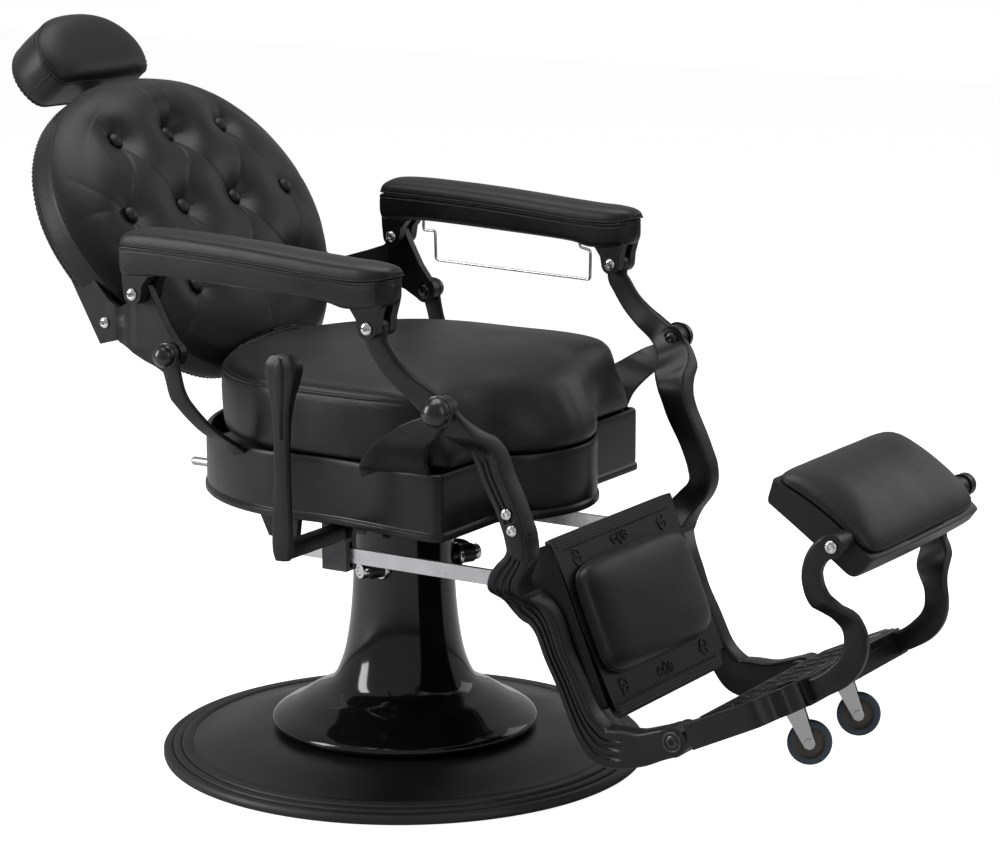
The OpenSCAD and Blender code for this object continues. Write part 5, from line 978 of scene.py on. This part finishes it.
marks += [bar((36, -166), (36, 166), 5, 13.8, 16.6), bar((104, 174), (104, 130), 4, 13.8, 16.4), bar((104, -174), (104, -130), 4, 13.8, 16.4), bar((158, -128), (158, 128), 4.5, 13.8, 16.5)]
v, f = join(*[placed(foot_frame, m) for m in marks])
piece("footplate_relief", v, f, paint, "footrest", (), smooth=42, bevel=0.6, segments=2)

foot_line = curve([[668, 217, 14], [681.5, 223.5, 14], [696, 231.5, 14.5], [712, 243.5, 16], [724.5, 258, 16], [731, 274, 15.5], [731.5, 291, 15], [728, 306, 14.5], [721.5, 320, 16], [712.5, 335, 17],
                   [704.5, 349, 15.5], [702.5, 365, 13.5], [703.5, 380, 12.5], [706, 393, 12], [713, 408, 13], [724, 419, 14], [732.4, 421.7, 14]], 5)
foot_bow = curve([[188 + y, z, 7] for y, z in [[0, 470], [0, 420], [0, 400], [-5, 380], [-16, 360], [-30, 340], [-46.5, 330], [-60, 320], [-67, 310], [-70.3, 300], [-71, 285], [-70, 270], [-69, 255], [-67.5, 240], [-66, 225], [-65, 190]]], 4)
for s, side in ((1, "left"), (-1, "right")):
    v, f = join(sweep(foot_line, foot_bow, 4, side=s), disc(F, 15, s * 181.2, s * 194.8))
    piece("foot_arm_cast_" + side, v, f, paint, "footrest", "foot_arm_" + side, smooth=42)

# ---- footpad --------------------------------------------------------------
# Casing under the pad: a thin-edged pan that follows its seam, with round ears at the pins.
pad_x, pad_l = -32, 65
seam_z = lambda u: 23.5 - 0.623 * u + 10 * (1 - (u / pad_l) ** 2)
top = [[pad_x + u, seam_z(u) - 1.4] for u in np.linspace(-pad_l - 1, pad_l + 1, 24)]
top = np.array(top + [[pad_x + pad_l + 1.6, seam_z(pad_l) - 4]])
low = curve([[25, -34.5], [17, -40.5], [8, -43], [-14, -28], [-48, -4], [-80, 18], [-100, 31.5], [-104, 35], [-104.5, 40]], 4)
rings = []
for y in np.concatenate([[-157.8, -157.2, -155.5, -152], np.linspace(-146, 146, 31), [152, 155.5, 157.2, 157.8]]):
    k = 1 - 0.03 * max(0, (abs(y) - 151) / 7) ** 2
    bulge = 4.5 * max(0, 1 - (y / 158) ** 2) ** 0.7
    q = np.vstack([top, low])
    c = np.array([-36, 6])
    rings.append([[F[0] + c[0] + (a - c[0]) * k + (bulge if a > 10 and b < seam_z(pad_l) else 0), y, F[1] + c[1] + (b - c[1]) * k] for a, b in q])
v, f = join(loft(rings), *[disc(F, 13, s * 156.5, s * 180.6) for s in (1, -1)])
piece("footpad_casing_pan", v, f, paint, "footpad", "footpad_casing", smooth=42)
# Its cushion: boxed edge with a welt, a soft crown, curved front to back.
t = np.linspace(0, 2 * math.pi, 176, endpoint=False)
sup = lambda a, x: np.sign(a) * np.abs(a) ** x


def foot_ring(d, rise):
    """Ring of the pad set in by d, at a height over its curved seam."""
    u, y = (pad_l - d) * sup(np.cos(t), 0.22), (156 - d) * sup(np.sin(t), 0.22)
    ring_ = even(np.column_stack([u, y]), 240)
    u, y = ring_[:, 0], ring_[:, 1]
    return np.column_stack([F[0] + pad_x + u + rise * 0.53, y, F[1] + seam_z(u) + rise * 0.85])


prof = [(48, 0.4), (28, 0.4), (12, 0.4), (1.2, 0.4), (0.3, 1.0), (-0.2, 2.2), (0.0, 4.0), (0.8, 5.6), (2.4, 7.4), (5, 9.4), (9, 11.6), (14, 13.6), (20, 15.4), (27, 17.1), (34, 18.5), (41, 19.6), (48, 20.4), (54, 20.8), (60, 21), (63, 21)]
v, f = loft([foot_ring(d, r_) for d, r_ in prof])
pad = piece("footpad_cushion_cover", soften(v, 0.5, 0.02), f, hide, "footpad", "footpad_cushion", smooth=180)
v, f = join(seam(foot_ring(0.9, 0.6), 1.0))
piece("footpad_welt", v, f, side_hide, "footpad", (), smooth=80)
v, f = stitches(foot_ring(-0.3, 3.4))
piece("footpad_stitches", v, f, thread, "footpad", (), smooth=60)
parts = [disc(F, 5, s * 128, s * 195.2, 28) for s in (1, -1)]
sv, sf = screw(8, 4.4)
parts += [(onto(sv, (F[0], s * 195, F[1]), (0, s, 0)), sf) for s in (1, -1)]
v, f = join(*parts)
piece("footpad_pin_heads", v, f, chrome, "footpad", "footpad_pins", smooth=35)

# ---- casters --------------------------------------------------------------
dress(zinc, "caster_mounts")
dress(chrome, "caster_fork_right", "caster_fork_left")
cs, sn = math.cos(math.radians(24)), math.sin(math.radians(24))
R = 28
tyre_prof = [[R - 8, -9], [R - 3.4, -9], [R - 1.4, -8.2], [R - 0.4, -6.4], [R, -4], [R, 4], [R - 0.4, 6.4], [R - 1.4, 8.2], [R - 3.4, 9], [R - 8, 9]]
hub_prof = [[3.05, -9.4], [7, -9.4], [7.6, -9], [9, -6], [10.5, -5.6], [R - 11.4, -5.6], [R - 10.4, -6.4], [R - 8.2, -8.2], [R - 8.05, -7.4], [R - 8.05, 7.4], [R - 8.2, 8.2], [R - 10.4, 6.4], [R - 11.4, 5.6], [10.5, 5.6], [9, 6], [7.6, 9], [7, 9.4], [3.05, 9.4]]
for s, side in ((1, "left"), (-1, "right")):
    for name, prof, mat in (("tyre", tyre_prof, tyre), ("hub", hub_prof, hub)):
        v, f = lathe(prof, 72, True)
        v = np.column_stack([v[:, 0], -v[:, 2], v[:, 1]]) + [2, 0, -66]
        v = np.column_stack([106 + cs * v[:, 0] - sn * v[:, 1], s * 70 + sn * v[:, 0] + cs * v[:, 1], v[:, 2]])
        piece("caster_" + name + "_turned_" + side, foot_frame(v), f, mat, "wheel_" + side, "caster_" + name + "_" + side, smooth=40)

# ---- floor and light ------------------------------------------------------
me = bpy.data.meshes.new("floor")
me.from_pydata([(-9, -9, -0.0005), (9, -9, -0.0005), (9, 9, -0.0005), (-9, 9, -0.0005)], [], [(0, 1, 2, 3)])
floor = bpy.data.objects.new("floor", me)
bpy.context.scene.collection.objects.link(floor)
m = bpy.data.materials.new("floor_white")
m.use_nodes = True
b = m.node_tree.nodes["Principled BSDF"]
b.inputs["Base Color"].default_value = (0.9, 0.9, 0.9, 1)
b.inputs["Roughness"].default_value = 0.8
b.inputs["Specular IOR Level"].default_value = 0.0
b.inputs["Emission Color"].default_value = (1, 1, 1, 1)
seen = add(m.node_tree, "Math", {"operation": "MULTIPLY"}, i0=add(m.node_tree, "LightPath").outputs["Is Camera Ray"], i1=0.93)
m.node_tree.links.new(seen.outputs[0], b.inputs["Emission Strength"])
me.materials.append(m)

world = bpy.data.worlds.new("studio")
bpy.context.scene.world = world
world.use_nodes = True
t = world.node_tree
t.nodes.clear()
ray = add(t, "LightPath")
sky = add(t, "Background", Color=(1, 1, 1, 1), Strength=1.0)
level = add(t, "Math", {"operation": "MULTIPLY_ADD"}, i0=ray.outputs["Is Glossy Ray"], i1=0.30, i2=0.05)
fill = add(t, "Background", Color=(1, 1, 1, 1), Strength=level.outputs[0])
both = t.nodes.new("ShaderNodeMixShader")
t.links.new(ray.outputs["Is Camera Ray"], both.inputs[0])
t.links.new(fill.outputs[0], both.inputs[1])
t.links.new(sky.outputs[0], both.inputs[2])
o = t.nodes.new("ShaderNodeOutputWorld")
t.links.new(both.outputs[0], o.inputs[0])


def softbox(name, at, aim_, size, power):
    """Rectangular soft light."""
    d = bpy.data.lights.new(name, "AREA")
    d.shape, d.size, d.size_y, d.energy = "RECTANGLE", size[0], size[1], power
    ob = bpy.data.objects.new(name, d)
    bpy.context.scene.collection.objects.link(ob)
    p = Vector(at)
    ob.matrix_world = Matrix.LocRotScale(p, (Vector(aim_) - p).to_track_quat("-Z", "Y"), None)


softbox("top_softbox", (-0.3, 0.2, 3.2), (0, 0, 0.4), (2.6, 2.2), 48)
softbox("right_strip", (2.6, -0.6, 1.5), (0.1, 0, 0.5), (0.7, 2.2), 8)
softbox("left_strip", (-2.2, -2.2, 1.6), (-0.1, 0, 0.5), (0.9, 2.2), 62)
softbox("rear_softbox", (1.3, 2.9, 1.8), (0, 0, 0.6), (1.6, 1.4), 7)

scene = bpy.context.scene
scene.view_settings.view_transform = "Standard"
scene.view_settings.look = "None"
scene.view_settings.exposure = 0
